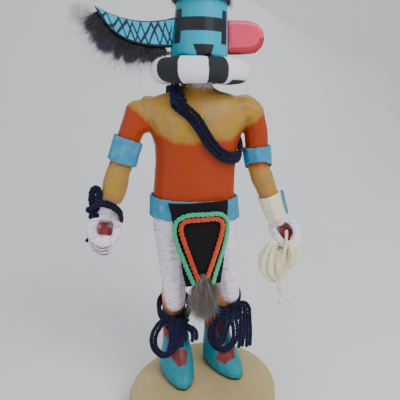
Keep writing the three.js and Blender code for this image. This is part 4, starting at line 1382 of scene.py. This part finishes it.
@dataclass
class Horn(Piece):
    """The painted horn, its fur, its down and the roll at its root."""

    seed: int = 11

    def build(self) -> None:
        """Makes the horn and what is fixed to it."""
        made = taken(("horn",), "horn_board", 0.42, 3)
        p = points_of(made)
        write_numbers(made.data, {"second": self.lines(p), "third": self.dark(p, vectors(made.data, "normal"))})
        self.studio.join(made, Slot.HORN, ("horn",))
        self.fringe()
        self.tuft()
        roll = taken(("horn_peg",), "horn_roll", 0.3, 3)
        self.studio.join(roll, Slot.ROLL, ("horn_peg",))

    @staticmethod
    def across(p: Points) -> tuple[np.ndarray, np.ndarray]:
        """Where points lie on the horn's face.

        Args:
            p: Points, in figure millimetres.

        Returns:
            The way from the root, and the share from the lower edge to the top edge.
        """
        x = p[:, 0]
        top = np.interp(x, [-53, -50, -46, -40, -30, -20, -10, -4], [247.2, 246.2, 244, 241.9, 240, 240.2, 242, 244])
        low = np.interp(x, [-53, -50.5, -47, -43, -36, -28, -18, -4],
                        [246.6, 242, 236.5, 232.4, 228.6, 226.6, 226, 226.4])
        return HORN_ROOT - x, (p[:, 2] - low) / np.maximum(top - low, 0.5)

    @staticmethod
    def height(way: np.ndarray) -> np.ndarray:
        """The horn's height, in millimetres, at a way from its root."""
        return np.interp(way, [0, 24, 36, 44], [16, 13, 9, 3])

    def lines(self, p: Points) -> np.ndarray:
        """Distance inside the crossing zigzags and the outline.

        Args:
            p: Points, in figure millimetres.

        Returns:
            Millimetres.
        """
        way, share = self.across(p)
        wide = self.height(way)
        waves = []
        period = 9.2
        for shift in (0.0, period / 2):
            phase = ((way + shift + 1.1 * np.sin(way * 0.31 + shift)) / period) % 1
            tent = np.abs(phase - 0.5) * 2 * np.interp(way, [-2, 38, 44], [1.0, 1.0, 0.55])
            target = 0.08 + 0.84 * tent + 0.04 * np.sin(way * 0.7)
            slope = 2 * 0.84 * wide / period
            waves.append(0.52 - np.abs(share - target) * wide / np.sqrt(1 + slope**2))
        edge = 0.45 - (1 - share) * wide
        line = np.maximum.reduce([*waves, edge])
        return np.where((p[:, 1] < -3.6) & (way > 0.5), line, kept(share > 0.9, edge))

    def dark(self, p: Points, normal: Points) -> np.ndarray:
        """Distance inside the black underside and the dark tip.

        Args:
            p: Points, in figure millimetres.
            normal: Their normals.

        Returns:
            Millimetres.
        """
        way, share = self.across(p)
        low = 1.6 - share * self.height(way)
        under = kept(normal[:, 2] < -0.55, 2.0)
        return np.maximum.reduce([low, under, way - 42.6])

    @staticmethod
    def fan(angle: np.ndarray, aside: np.ndarray) -> Points:
        """Directions at angles in the horn's plane, that lean aside."""
        return np.stack([np.cos(angle), aside, np.sin(angle)], axis=1)

    def fringe(self) -> None:
        """Makes the fur strip: a dark backing and hairs that flare from the horn's lower edge."""
        rng = np.random.default_rng(self.seed)
        edge = smooth_path([[-14, -2, 224.6], [-24, -2, 224.6], [-34, -2, 226.6], [-42, -2, 230.4], [-48, -2, 236],
                            [-52.5, -2, 243]], 0.4)
        parts = [self.fur(edge, rng), self.wisps(edge, rng), tube(edge + [0, 0.6, 0.9], np.full(len(edge), 1.6), 8)]
        parts[-1].numbers["along"] *= 0.1
        self.studio.place("fringe_hair", join_mixed(parts), Slot.FRINGE, ("horn_fringe",))

    def fur(self, edge: Points, rng: np.random.Generator) -> Shape:
        """Hairs in locks, each lock drawn to its own tip.

        Args:
            edge: The horn's lower edge, in figure millimetres.
            rng: Source of chance.

        Returns:
            The hairs, in metres.
        """
        count = 6000
        at = rng.integers(0, len(edge), count)
        share = at / (len(edge) - 1)
        roots = edge[at] + rng.normal(0, [0.5, 1.5, 0.5], (count, 3))
        roots[:, 2] += 0.3
        lock = np.round(share * 18) / 18
        spread = rng.normal(0, 0.3, count) + 0.34 * np.sin(lock * 91)
        ways = self.fan(np.interp(share, *FUR_ANGLE) + spread, rng.normal(0, 0.16, count))
        tips = np.stack([np.interp(lock, np.linspace(0, 1, len(edge)), edge[:, k]) for k in range(3)], axis=1)
        middle = self.fan(np.interp(lock, *FUR_ANGLE) + 0.4 * np.sin(lock * 91), np.zeros(count))
        clump = tips + 0.95 * np.interp(lock, *FUR_LENGTH)[:, None] * middle
        lengths = np.interp(share, *FUR_LENGTH) * (0.28 + 1.02 * rng.beta(1.2, 1.6, count))
        return hairs(roots, ways, lengths, 0.18, rng, 0.26, 0.05, 4, clump, 0.68)

    def wisps(self, edge: Points, rng: np.random.Generator) -> Shape:
        """Single hairs that stand apart from the locks.

        Args:
            edge: The horn's lower edge, in figure millimetres.
            rng: Source of chance.

        Returns:
            The hairs, in metres.
        """
        count = 1500
        at = rng.integers(0, len(edge), count)
        share = at / (len(edge) - 1)
        angle = np.interp(share, *WISP_ANGLE) + rng.normal(0, 0.35, count)
        ways = self.fan(angle, rng.normal(0, 0.25, count))
        lengths = np.interp(share, *WISP_LENGTH) * rng.uniform(0.6, 1.15, count)
        return hairs(edge[at] + rng.normal(0, [0.4, 1.2, 0.4], (count, 3)), ways, lengths, 0.17, rng, 0.34)

    def tuft(self) -> None:
        """Makes the white down behind the horn's tip."""
        rng = np.random.default_rng(self.seed + 1)
        count = 1500
        ways = unit(rng.standard_normal((count, 3)) * [1.0, 0.35, 0.62])
        ways[:, 1] = np.abs(ways[:, 1]) * 0.8
        roots = np.array([-60.2, 0.6, 244.2]) + ways * rng.uniform(0, 2.0, (count, 1))
        lengths = rng.uniform(2.8, 7.2, count) * np.where(ways[:, 0] < 0, 1.2, 0.9)
        self.studio.place("tuft_down", hairs(roots, ways, lengths, 0.2, rng, 0.5), Slot.DOWN, ("horn_tuft",))


@dataclass
class Ear(Piece):
    """The pink ear."""

    def build(self) -> None:
        """Makes the ear, with a redder rim and a darker red underside that is painted shade."""
        made = taken(("ear",), "ear_paddle", 0.45, 3)
        normal = vectors(made.data, "normal")
        # A redder rim round the edges, widened on the underside as painted shade; darker red on the downward faces is
        # painted shade too.
        rim = (0.86 - np.abs(normal[:, 1])) * 3.2 + np.where(normal[:, 2] < 0, 0.8, -0.6)
        write_numbers(made.data, {"second": rim, "third": (-normal[:, 2] - 0.7) * 4 - 0.4})
        self.studio.join(made, Slot.EAR, ("ear",))


@dataclass
class CrownWool(Piece):
    """Dark wool on the top of the mask."""

    seed: int = 23

    def build(self) -> None:
        """Makes the wool: a lumpy pad with curled fibres all over it."""
        rng = np.random.default_rng(self.seed)
        pad = taken(("crown_wool",), "crown_pad", 0.9, 2)
        p, normal = points_of(pad), vectors(pad.data, "normal")
        lumps = np.sin(p[:, 0] * 1.3) * np.sin(p[:, 1] * 1.1 + 1) * np.sin(p[:, 2] * 1.7)
        p = p - normal * (0.9 - 0.5 * lumps)[:, None]
        outside = (np.hypot(p[:, 0] - 9.6, p[:, 1]) > 15.2) | (p[:, 2] > 260.4)
        count = 4200
        chosen = rng.choice(np.flatnonzero(outside), count)
        ways = normal[chosen] + rng.normal(0, 0.6, (count, 3))
        fibres = hairs(p[chosen], ways, rng.uniform(1.0, 2.4, count), 0.22, rng, 0.9)
        faces = [list(face.vertices) for face in pad.data.polygons]
        body = Shape(row(p), faces, {"along": np.zeros(len(p)), "tone": rng.uniform(0, 0.8, len(p))})
        bpy.data.objects.remove(pad)
        self.studio.place("crown_wool_hair", join_mixed([body, fibres]), Slot.CROWN, ("crown_wool",))


@dataclass
class LeatherStrips(Piece):
    """The armbands, the belt, the cuff and its strip."""

    seed: int = 31

    def build(self) -> None:
        """Makes every strip from its node, with cut edges that waver a little."""
        for node, slot, voxel in (("right_armband", Slot.BLUE, 0.54), ("left_armband", Slot.BLUE, 0.54),
                                  ("belt", Slot.BLUE, 0.62), ("wrist_cuff", Slot.CREAM, 0.5),
                                  ("cuff_strip", Slot.BLUE, 0.36)):
            made = taken((node,), f"{node}_leather", voxel, 2)
            p = points_of(made)
            wave = 0.22 * np.sin(p[:, 0] * 0.7 + p[:, 2] * 0.2) + 0.14 * np.sin(p[:, 0] * 1.9 + 2)
            p[:, 2] += 0.7 * wave
            move_points(made, p)
            self.studio.join(made, slot, (node,))


APRON_TOP, APRON_FOOT = 131.4, 74.0
APRON_LIFT = 2.5  # the belt's thickness and a little air


def apron_depth(x: np.ndarray, z: np.ndarray, lift: float = 0.0) -> np.ndarray:
    """Depth of the apron's back.

    Args:
        x, z: Places on it.
        lift: How far in front of its back.

    Returns:
        The depth, in figure millimetres.
    """
    middle, wide, deep = section_at(TRUNK, 124)
    wide, deep = wide + APRON_LIFT, deep + APRON_LIFT
    share = np.clip((APRON_TOP - z) / (APRON_TOP - APRON_FOOT), 0, 1)
    bulge = deep * (1 - np.sqrt(np.clip(1 - ((x - middle) / wide) ** 2, 0, None)))
    return -deep - 0.6 * np.sin(np.pi * share) + bulge * (1 - 0.7 * share) - lift


@dataclass
class Apron(Piece):
    """The felt panel with its two glued yarns and the fur tail at its foot."""

    felt: float = 1.3
    seed: int = 41
    green: tuple = ((-4, 75.8), (-8.9, 90), (-14, 106), (-14.9, 116), (-11.8, 121.7), (-4.5, 124.3), (6, 124.1),
                    (14.6, 123.4), (19.2, 119), (19.6, 113), (16.7, 99.8), (11.8, 85.6), (8.8, 75))
    red: tuple = ((-1.2, 79.4), (-6.4, 96.4), (-10, 109.2), (-10.9, 116.2), (-7.9, 120.2), (0.4, 120.8),
                  (12, 120.4), (16.2, 117), (15.6, 110.4), (11.3, 97.2), (5.1, 80))

    def build(self) -> None:
        """Makes the panel, the yarns and the tail."""
        self.panel()
        kind = YarnKind(YARN * 1.12, plies=2, pitch=6.2, step=0.5, fuzz_per_mm=6, fuzz_length=0.8, ply_sides=8)
        for name, route, slot in (("green", self.green, Slot.GREEN), ("red", self.red, Slot.RED)):
            rng = np.random.default_rng(self.seed + len(name))
            flat = smooth_path([[x, 0, z] for x, z in route], kind.step)
            flat[:, 1] = apron_depth(flat[:, 0], flat[:, 2], self.felt + 0.2 + YARN / 2)
            self.studio.place(f"apron_{name}_yarn_twist", kind.along(flat, rng), slot, (f"apron_{name}_yarn",))
        self.tail()

    def panel(self) -> None:
        """Makes the felt panel, with a nap and slightly uneven edges."""
        rng = np.random.default_rng(self.seed)
        columns, rows = 56, 84
        u, v = np.meshgrid(np.linspace(0, 1, columns + 1), np.linspace(0, 1, rows + 1))
        z = APRON_TOP + (APRON_FOOT - APRON_TOP) * v + 0.2 * np.sin(u * 9) * (v - 0.5)
        left = -18 + (-9.2 + 18) * v**0.9 + 0.25 * np.sin(v * 13)
        right = 20.9 + (14.8 - 20.9) * v**1.3 + 0.25 * np.sin(v * 11 + 1)
        x = left + (right - left) * u
        grain = 0.12 * rng.standard_normal(x.shape)
        front = np.stack([x, apron_depth(x, z, self.felt) - np.abs(grain), z], axis=-1).reshape(-1, 3)
        back = np.stack([x, apron_depth(x, z), z], axis=-1).reshape(-1, 3)
        index = np.arange((rows + 1) * (columns + 1)).reshape(rows + 1, columns + 1)
        a, b, c, d = (part.ravel() for part in (index[:-1, :-1], index[1:, :-1], index[1:, 1:], index[:-1, 1:]))
        shift = index.size
        faces = np.stack([a, b, c, d], axis=1).tolist() + (np.stack([d, c, b, a], axis=1) + shift).tolist()
        ring = np.concatenate([index[0], index[1:, -1], index[-1, -2::-1], index[-2:0:-1, 0]])
        nxt = np.roll(ring, -1)
        faces += np.stack([ring, nxt, nxt + shift, ring + shift], axis=1).tolist()
        numbers = {"along": np.zeros(2 * shift), "tone": rng.uniform(0, 0.8, 2 * shift)}
        made = self.studio.place("apron_felt", Shape(row(np.concatenate([front, back])), faces, numbers),
                                 Slot.FELT, ("apron",))

    def tail(self) -> None:
        """Makes the fur tail: a narrow fluffy root between the yarns' ends and a tapering brush."""
        rng = np.random.default_rng(self.seed + 3)
        face = float(apron_depth(np.array([2.0]), np.array([APRON_FOOT]), self.felt + 0.4)[0])
        count = 4200
        start = rng.uniform(0, 1, count) ** 0.8
        roots = np.stack([2.3 + rng.normal(0, 1, count) * (0.9 + 2.6 * (1 - start)),
                          face - 0.3 - 2.2 * rng.uniform(0, 1, count), 72.4 + 10.6 * start], axis=1)
        roots[:, 1] = np.minimum(roots[:, 1], face - 0.3)
        side = (roots[:, 0] - 2.3) / 5
        ways = np.stack([0.36 * side + rng.normal(0, 0.15, count) - 0.03, rng.normal(0, 0.05, count),
                         -np.ones(count)], axis=1)
        reach = (roots[:, 2] - 46.5) * (1 - 0.32 * np.abs(side)) * rng.uniform(0.45, 1.02, count)
        aim = np.stack([0.6 + side * 3.4, np.full(count, face - 0.6), roots[:, 2] - reach], axis=1)
        fur = hairs(roots, ways, reach, 0.24, rng, 0.07, 0, 4, aim, 0.3)
        self.studio.place("tail_hair", fur, Slot.TAIL, ("fur_tail",))


@dataclass
class Bandolier(Piece):
    """Three strands of yarn over the right shoulder and round under the left arm."""

    seed: int = 53
    route: tuple = (
        (193.8, -0.44, 1), (188.8, -0.25, 0.6), (184, -0.13, 0.4), (177.3, -0.01, 0.3),
        (169.7, 0.16, 0.3), (162.8, 0.41, 0.3), (159, 0.67, 0.2), (158.6, 1.05, 0.1), (161.5, 1.32, 0), (165, 1.6, 0),
        (170, 2, 0.3), (175, 2.5, 0.6), (181, 3, 0.8), (188, 3.4, 1), (193.5, 3.68, 1.4),
    )
    over: tuple = ((-11.5, 13.6, 197.8), (-10.4, 9.4, 201.4), (-10.6, 3, 203.2), (-10.8, -3.6, 203.4),
                   (-10.2, -8.6, 202.2), (-9.6, -11.6, 199.2))

    def build(self) -> None:
        """Makes the three strands and the knot at the shoulder."""
        rng = np.random.default_rng(self.seed)
        lift = 0.5 + YARN / 2
        stops = [on_trunk(z, turn, lift + out) for z, turn, out in self.route] + [list(stop) for stop in self.over]
        middle = smooth_path(stops, 0.7, True)
        ahead, _, _ = carried_frames(middle, True)
        out = middle - np.array([4.6, 0, 0])
        out[:, 2] = 6 * np.clip(middle[:, 2] - 196, 0, None)
        out -= np.sum(out * ahead, axis=1)[:, None] * ahead
        out = unit(out)
        side = np.cross(ahead, out)
        kind = YarnKind(step=0.7)
        run = full_turn(len(middle))
        strands = []
        for way in (-1, 0, 1):
            sway = way * (2.7 + 0.16 * np.sin(5 * run + way))
            line = middle + sway[:, None] * side + (0.2 * np.sin(9 * run + way))[:, None] * out
            strands.append(kind.along(line, rng, True))
        for knot in ([-9.4, -15.4, 196.6], [-8.4, -16.2, 193.2]):
            strands.append(tie_knot(np.array(knot), kind, rng, 4.0, 2.0))
        self.studio.place("bandolier_strands", join_mixed(strands), Slot.NAVY, ("bandolier",))


def beside(path: Points, way: float, closes: bool = False) -> Points:
    """A path that runs beside another, as the second yarn of a pair does.

    Args:
        path: The other path, in figure millimetres.
        way: How far aside.
        closes: Whether both of its ends meet the other path, and not only its start.

    Returns:
        The path.
    """
    ahead = np.gradient(path, axis=0)
    side = unit(np.cross(ahead, [0, 1, 0]))
    run = np.linspace(0, 1, len(path))
    share = smoothstep(0, 0.12, run) * (smoothstep(0, 0.12, 1 - run) if closes else 1)
    wander = 1 + 0.35 * np.sin(9 * run + way)
    return path + (way * share * wander)[:, None] * side + (0.5 * np.sin(7 * run + way))[:, None] * [0, 1, 0]


def tie_knot(at: Points, kind: YarnKind, rng: np.random.Generator, size: float, deep: float) -> Shape:
    """A knot: a strand that winds twice round itself.

    Args:
        at: Its middle, in figure millimetres.
        kind: The yarn.
        rng: Source of chance.
        size: Half its width and height.
        deep: Half its depth.

    Returns:
        The knot, in metres.
    """
    t = full_turn(40)
    line = np.stack([np.sin(t) + 1.1 * np.sin(2 * t), 0.9 * np.sin(3 * t), np.cos(t) - 1.1 * np.cos(2 * t)], axis=1)
    line *= np.array([size, deep, size]) / 2.1
    return kind.along(smooth_path(line[::2] + at, 0.7, True), rng, True)


def free_cord(path: Points, far_end: str) -> None:
    """Turns a free yarn's or string's path into metres, and keeps nothing.

    Args:
        path: Its middle line, in figure millimetres.
        far_end: What its far end is; not used.
    """
    row(path[0])[0]
    row(path)


@dataclass
class LegTie(Piece):
    """Yarn tied below a knee: three turns and a knot, with loops and ends that hang in front."""

    side: str
    shin: Points
    knee: tuple[float, float, float]
    loops: tuple
    long_ends: tuple
    short_ends: tuple
    seed: int

    def build(self) -> None:
        """Makes the turns with the knot and the short ends, then each free loop and long end."""
        rng = np.random.default_rng(self.seed)
        kind = YarnKind(fuzz_per_mm=14)
        knee = np.array(self.knee)
        parts = [kind.along(self.turn_path(i, knee), rng) for i in (0.5, 1.5, 2.5)]
        for aside in ([0, -1.4, 0], [-5, -1.6, 0.8], [4.6, -1.0, -1.4]):
            parts.append(tie_knot(knee + aside, kind, rng, 4.4, 2.8))
        for route in self.short_ends:
            path = smooth_path([knee, *route], 0.7)
            parts += [kind.along(beside(path, way), rng) for way in (-DOUBLED, DOUBLED)]
        node = f"{self.side}_leg_tie"
        self.studio.place(f"{node}_wraps", join_mixed(parts), Slot.NAVY, (node,))
        free = [("loop", route, "object", way) for route in self.loops for way in (-DOUBLED, DOUBLED)]
        free += [("end", route, "bare", way) for route in self.long_ends for way in (-DOUBLED, DOUBLED)]
        for count, (kind_name, route, far_end, way) in enumerate(free):
            start = knee + [0, -1.2, 0]
            stops = [start, *route, start + [0.8, 0.4, 0.8]] if far_end == "object" else [start, *route]
            path = beside(smooth_path(stops, 0.7), way, far_end == "object")
            made = self.studio.place(f"{node}_{kind_name}_{count}", kind.along(path, rng), Slot.NAVY, (node,))
            free_cord(path, far_end)
        LOG.info("%s has %d free cords", node, len(free))

    def turn_path(self, turn_count: float, knee: Points) -> Points:
        """One turn of yarn round the leg, lower in front.

        Args:
            turn_count: Which turn, counted down from the top.
            knee: The knot's place.

        Returns:
            The path.
        """
        turn = np.linspace(0.0, 2 * math.pi, 60)
        z = knee[2] + (1.5 - turn_count) * YARN + 5.2 * (1 - np.cos(turn)) - 0.4 * (turn / math.pi - 1)
        x, y, wide, deep = section_at(self.shin, z)
        lift = 1.0 + YARN / 2
        path = np.stack([x + (wide + lift) * np.sin(turn), y - (deep + lift) * np.cos(turn), z], axis=1)
        return smooth_path(path, 0.8)


RIGHT_TIE = {
    "knee": (-16.4, -11.6, 43.6),
    "loops": (((-24.5, -14.4, 47.4), (-31, -14.8, 38), (-31.4, -15, 27.6), (-25.6, -15.6, 20.8),
               (-18, -15.8, 26), (-17.2, -14.4, 36)),),
    "long_ends": (),
    "short_ends": (((-19.4, -14.6, 33), (-20.6, -15.4, 25)), ((-14.4, -15, 36), (-14, -16, 25.6)),
                   ((-12.2, -14.4, 38), (-11.2, -15.8, 29.6)),
                   ((-8.6, -13.4, 40), (-4.6, -14.4, 35.4), (-3.6, -15, 28.6))),
}
LEFT_TIE = {
    "knee": (22.4, -11.4, 45.4),
    "loops": (((13, -14.2, 42), (8.4, -15.2, 33), (10.8, -16, 22.6), (18.6, -16.4, 18.2), (25.4, -16, 24.6),
               (26, -14.6, 35)),
              ((15, -14.6, 44), (10, -15.8, 38), (10.4, -16.6, 28), (15.4, -16.6, 25), (18.6, -15.4, 34))),
    "long_ends": (((28, -12.6, 49), (32, -13, 48), (31.4, -14, 36), (30.4, -14.6, 17)),
                  ((31, -10.4, 50), (36.4, -11, 46.8), (36.2, -12.6, 34), (36.8, -13.6, 16))),
    "short_ends": (),
}


@dataclass
class WristYarn(Piece):
    """Yarn tied round the right wrist, with a standing loop and a short end."""

    seed: int = 71
    tie: tuple = (-63.6, -6, 126.4)

    def build(self) -> None:
        """Makes the turns, the knot and the end, then the loop."""
        rng = np.random.default_rng(self.seed)
        kind = YarnKind(fuzz_per_mm=14)
        tie = np.array(self.tie)
        parts = []
        turn = full_turn(48)[:, None]
        for middle, lift in (((-55.4, -6.0, 126.2), 8.8), ((-56.0, -8.2, 124.4), 9.6)):
            ring = np.array(middle) + lift * (np.cos(turn) * [0.94, -0.3, -0.2] + np.sin(turn) * [0, -0.59, 0.81])
            parts.append(kind.along(smooth_path(ring[::2], 0.8, True), rng, True))
        parts.append(tie_knot(tie, kind, rng, 3.8, 2.6))
        parts.append(tie_knot(tie + [0.6, -0.6, -4], kind, rng, 3.2, 2.4))
        end = smooth_path([tie, [-64.4, 1, 119], [-65.6, 5, 110], [-69.4, 5.4, 105], [-71, 5, 103]], 0.7)
        parts.append(kind.along(end, rng))
        self.studio.place("wrist_yarn_turns", join_mixed(parts), Slot.NAVY, ("wrist_yarn",))
        bow = smooth_path([tie, [-63.6, -7.4, 131], [-63.8, -7.6, 136.6], [-62.8, -7.6, 140.6], [-61, -7.4, 142.2],
                           [-59.4, -7.2, 140.4], [-59.8, -7.0, 135.4], [-61.6, -6.8, 130], tie + [0.6, 0, 1]], 0.7)
        for count, way in enumerate((-0.8, 0.8)):
            loop = beside(bow, way, True)
            made = self.studio.place(f"wrist_yarn_loop_{count}", kind.along(loop, rng), Slot.NAVY, ("wrist_yarn",))
            free_cord(loop, "object")


@dataclass
class Pouch(Piece):
    """The gathered leather pouch in the left hand, and its drawstring."""

    seed: int = 83

    def build(self) -> None:
        """Makes the bag, the lip and the string."""
        bag = self.lobe([(57.4, -16.6, 95.4, 2.2, 2.4), (54.4, -14.8, 95.2, 4.6, 4.4), (53.6, -13.8, 87, 8.6, 6.8),
                         (54, -13.8, 78, 8.8, 7), (56, -14.6, 71, 5.8, 5.2), (58, -16, 68, 2, 2.4)], 8, 0.18, 0.4)
        lip = self.lobe([(60.4, -20.8, 96, 1.6, 1.8), (63.6, -24.2, 98, 3.4, 2.4), (66.6, -24.2, 92, 4.4, 2.8),
                         (65.8, -22, 84.6, 3.6, 2.8), (62.4, -19.4, 77.6, 2.4, 2.4), (58.6, -17, 69, 1.8, 1.8)],
                        5, 0.1, 1.3)
        heart = self.lobe([(59.4, -17, 94, 2, 2), (60.6, -15.8, 88, 4.8, 4.6), (61, -15, 81, 5.8, 5.4),
                           (60, -15.4, 74, 4.2, 4), (58.4, -16.6, 68.6, 1.6, 1.6)], 6, 0.16, 2.2)
        self.studio.place("pouch_bag", join_mixed([bag, lip, heart]), Slot.CREAM, ("pouch",))
        self.string()

    @staticmethod
    def lobe(sections: Sequence, pleats: int, depth: float, phase: float) -> Shape:
        """A gathered lobe whose skin is pleated lengthwise, more tightly at its ends.

        Args:
            sections: Middle and half sizes along the lobe.
            pleats: Number of pleats.
            depth: Depth of the pleats as a share of the size.
            phase: Turn of the first pleat.

        Returns:
            The lobe, in metres.
        """
        table = np.asarray(sections, dtype=float)
        path = smooth_path(table[:, :3], 0.5)
        run = np.linspace(0, 1, len(path))
        knots = run_of(table[:, :3])
        sizes = [np.interp(run, knots / knots[-1], table[:, k]) for k in (3, 4)]
        ahead = unit(np.gradient(path, axis=0))
        deep = unit(np.array([0, 1.0, 0]) - ahead[:, 1:2] * ahead)
        wide = np.cross(deep, ahead)
        sides = 88
        turn = full_turn(sides)[None, :]
        ends = (1.0 + 1.3 * np.abs(run - 0.5) ** 1.5)[:, None]
        wander = 0.5 * np.sin(6 * run + 1)[:, None]
        fold = np.abs(np.sin((pleats * turn + phase + wander) / 2)) ** 0.7
        ripple = 0.02 * np.sin(3 * pleats * turn + 9 * run[:, None])
        scale = 1 + depth * ends * (fold - 0.62) * 2 + ripple
        rings = path[:, None, :]
        for size, part, way in zip(sizes, (np.cos(turn), np.sin(turn)), (wide, deep)):
            rings = rings + (size[:, None] * scale * part)[..., None] * way[:, None, :]
        rows = len(path)
        index = np.arange(rows * sides).reshape(rows, sides)
        nxt = np.roll(index, -1, axis=1)
        faces = np.stack([index[:-1], nxt[:-1], nxt[1:], index[1:]], axis=-1).reshape(-1, 4).tolist()
        faces += [index[0, ::-1].tolist(), index[-1].tolist()]
        # Painted shade along the pleats' grooves, which the leather finish darkens.
        crease_shade = 1 - smoothstep(0.0, 0.34, fold)
        return Shape(row(rings.reshape(-1, 3)), faces, {"crease_shade": (crease_shade + 0 * turn).ravel()})

    def string(self) -> None:
        """Makes the drawstring's run, its knot and its two frayed ends."""
        knot = [57.2, -21.8, 65.4]
        path = smooth_path([LEFT_HAND.place(0, 2.4, -5), LEFT_HAND.place(0, 1.6, 0), LEFT_HAND.place(1, -1.4, 4),
                            [58.8, -26, 97.6], [56.8, -25.8, 87], [56.8, -23.8, 75], knot], 0.6)
        radii = np.full(len(path), THONG / 2) * (1 + 0.06 * np.sin(np.arange(len(path)) * 0.7))
        made = self.studio.place("drawstring_run", strip_numbers(tube(path, radii, 12, flat=0.8)), Slot.CREAM,
                                 ("pouch_drawstring",))
        free_cord(path, "knot")
        t = full_turn(24)
        coil = np.stack([1.5 * np.sin(t) + 0.7 * np.sin(2 * t), 1.1 * np.sin(3 * t), 1.6 * np.cos(t)], axis=1)
        line = smooth_path(coil + knot, 0.5, True)
        parts = [tube(line, np.full(len(line), 1.0), 8, True)]
        rng = np.random.default_rng(self.seed)
        for stops in ([[58.2, -21.6, 59], [57.4, -21.2, 53.6]], [[60.6, -21.6, 58.6], [64.6, -21.2, 52.6]]):
            end = smooth_path([knot, *stops], 0.5)
            parts.append(tube(end, np.interp(np.arange(len(end)), [0, len(end) - 1], [0.95, 0.75]), 8, flat=0.7))
            tips = np.repeat(end[-1:], 26, axis=0) + rng.normal(0, 0.4, (26, 3))
            ways = (end[-1] - end[-4]) + rng.normal(0, 0.5, (26, 3))
            parts.append(hairs(tips, ways, rng.uniform(1, 3, 26), 0.3, rng, 0.4))
        self.studio.place("drawstring_knot", strip_numbers(join_mixed(parts)), Slot.CREAM, ("pouch_drawstring",))


def strip_numbers(shape: Shape) -> Shape:
    """The same shape with no numbers on its points."""
    return Shape(shape.points, shape.faces, {})


@dataclass
class NeckFibres(Piece):
    """Ragged bits of the ruff's cloth that hang on the neck below it."""

    seed: int = 97

    def build(self) -> None:
        """Makes the frayed bits."""
        rng = np.random.default_rng(self.seed)
        count = 220
        turn = rng.uniform(-1.25, 0.95, count)
        roots = np.stack([5.8 + 9.9 * np.sin(turn), -9.9 * np.cos(turn), rng.uniform(203.8, 206.4, count)], axis=1)
        ways = np.stack([0.35 * np.sin(turn) + rng.normal(0, 0.3, count), -0.25 * np.cos(turn), -np.ones(count)],
                        axis=1)
        fibres = hairs(roots, ways, rng.uniform(1.2, 3.4, count), 0.35, rng, 0.4)
        self.studio.place("neck_fibres", fibres, Slot.DOWN)


@dataclass(frozen=True)
class Room:
    """Camera, lights, floor and surroundings."""

    camera_place: tuple = (-0.03394, -0.24148, 0.220)
    yaw: float = -15.87
    pitch: float = 14.97
    roll: float = 0.4

    def camera(self) -> None:
        """Sets the camera where the photograph was taken from."""
        data = bpy.data.cameras.new("camera")
        data.lens = 36.0
        data.sensor_width = 36.0
        data.shift_x = -0.1285
        data.clip_start = 0.005
        data.dof.use_dof = False
        made = new_object("camera", data)
        place = Matrix.Translation(self.camera_place)
        for degrees, axis in ((self.yaw, "Z"), (90 - self.pitch, "X"), (self.roll, "Z")):
            place = place @ Matrix.Rotation(math.radians(degrees), 4, axis)
        made.matrix_world = place
        bpy.context.scene.camera = made

    def light(self, name: str, place: Sequence[float], size: float, power: float, tint: tuple) -> None:
        """Adds a soft area light that points at the doll.

        Args:
            name: Its name.
            place: Where it hangs, in metres.
            size: Its side.
            power: Its power.
            tint: Its colour.
        """
        data = bpy.data.lights.new(name, "AREA")
        data.size = size
        data.energy = power
        data.color = tint
        made = new_object(name, data)
        made.location = place
        made.rotation_mode = "QUATERNION"
        made.rotation_quaternion = (Vector((0, 0, 0.15)) - Vector(place)).to_track_quat("-Z", "Y")

    def build(self, studio: Studio) -> None:
        """Makes the lights, the floor and the even surroundings.

        Args:
            studio: Where materials come from.
        """
        self.light("window", (0.5, -0.7, 0.9), 0.55, 9.0, (1.0, 0.985, 0.96))
        self.light("fill", (-0.9, -0.5, 0.5), 0.9, 2.6, (0.94, 0.97, 1.0))
        self.light("back", (0.3, 0.9, 0.8), 0.8, 3.0, (1.0, 0.98, 0.95))
        world = bpy.data.worlds.new("surroundings")
        bpy.context.scene.world = world
        world.use_nodes = True
        sky = world.node_tree.nodes["Background"]
        sky.inputs["Color"].default_value = (0.93, 0.95, 1.0, 1.0)
        sky.inputs["Strength"].default_value = 0.62
        self.floor(studio)

    def floor(self, studio: Studio) -> None:
        """Makes a pale floor that sweeps up far behind the doll.

        Args:
            studio: Where the shared node groups come from.
        """
        rows = [(-3.0, 0.0), (0.6, 0.0)]
        rows += [(0.6 + 0.5 * math.sin(a), 0.5 - 0.5 * math.cos(a)) for a in np.linspace(0, math.pi / 2, 24)[1:]]
        rows.append((1.1, 3.0))
        points = [(x, y, z) for y, z in rows for x in (-3.0, 3.0)]
        faces = [(2 * i, 2 * i + 1, 2 * i + 3, 2 * i + 2) for i in range(len(rows) - 1)]
        mesh = bpy.data.meshes.new("floor")
        mesh.from_pydata(points, [], faces)
        mesh.polygons.foreach_set("use_smooth", [True] * len(faces))
        made = new_object("floor", mesh)
        surface = new_surface("pale_floor", studio.palette.groups)
        tone = surface.shader.noise(EVEN, 0.012, 2)
        color = surface.shader.mix(tone, srgb(226, 228, 232), srgb(234, 235, 236))
        surface.set(Base_Color=color, Roughness=0.7)
        mesh.materials.append(surface.material)


def main() -> None:
    """Builds the whole scene."""
    room = Room()
    room.camera()
    studio = Studio(Palette())
    for name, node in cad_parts.items():
        node.data.materials.clear()
        node.data.materials.append(studio.palette[Slot.PAINTED if "arm" in name else Slot.WOOD])
    for piece in (
        LegTie(studio, "right", RIGHT_SHIN, **RIGHT_TIE, seed=61),
        LegTie(studio, "left", LEFT_SHIN, **LEFT_TIE, seed=67),
        *(kind(studio) for kind in (WristYarn, Pouch, Carving, Base, Ruff, Horn, Ear, CrownWool, LeatherStrips, Apron,
                                    Bandolier, NeckFibres)),
    ):
        piece.build()
    room.build(studio)


if __name__ == "__main__":
    main()
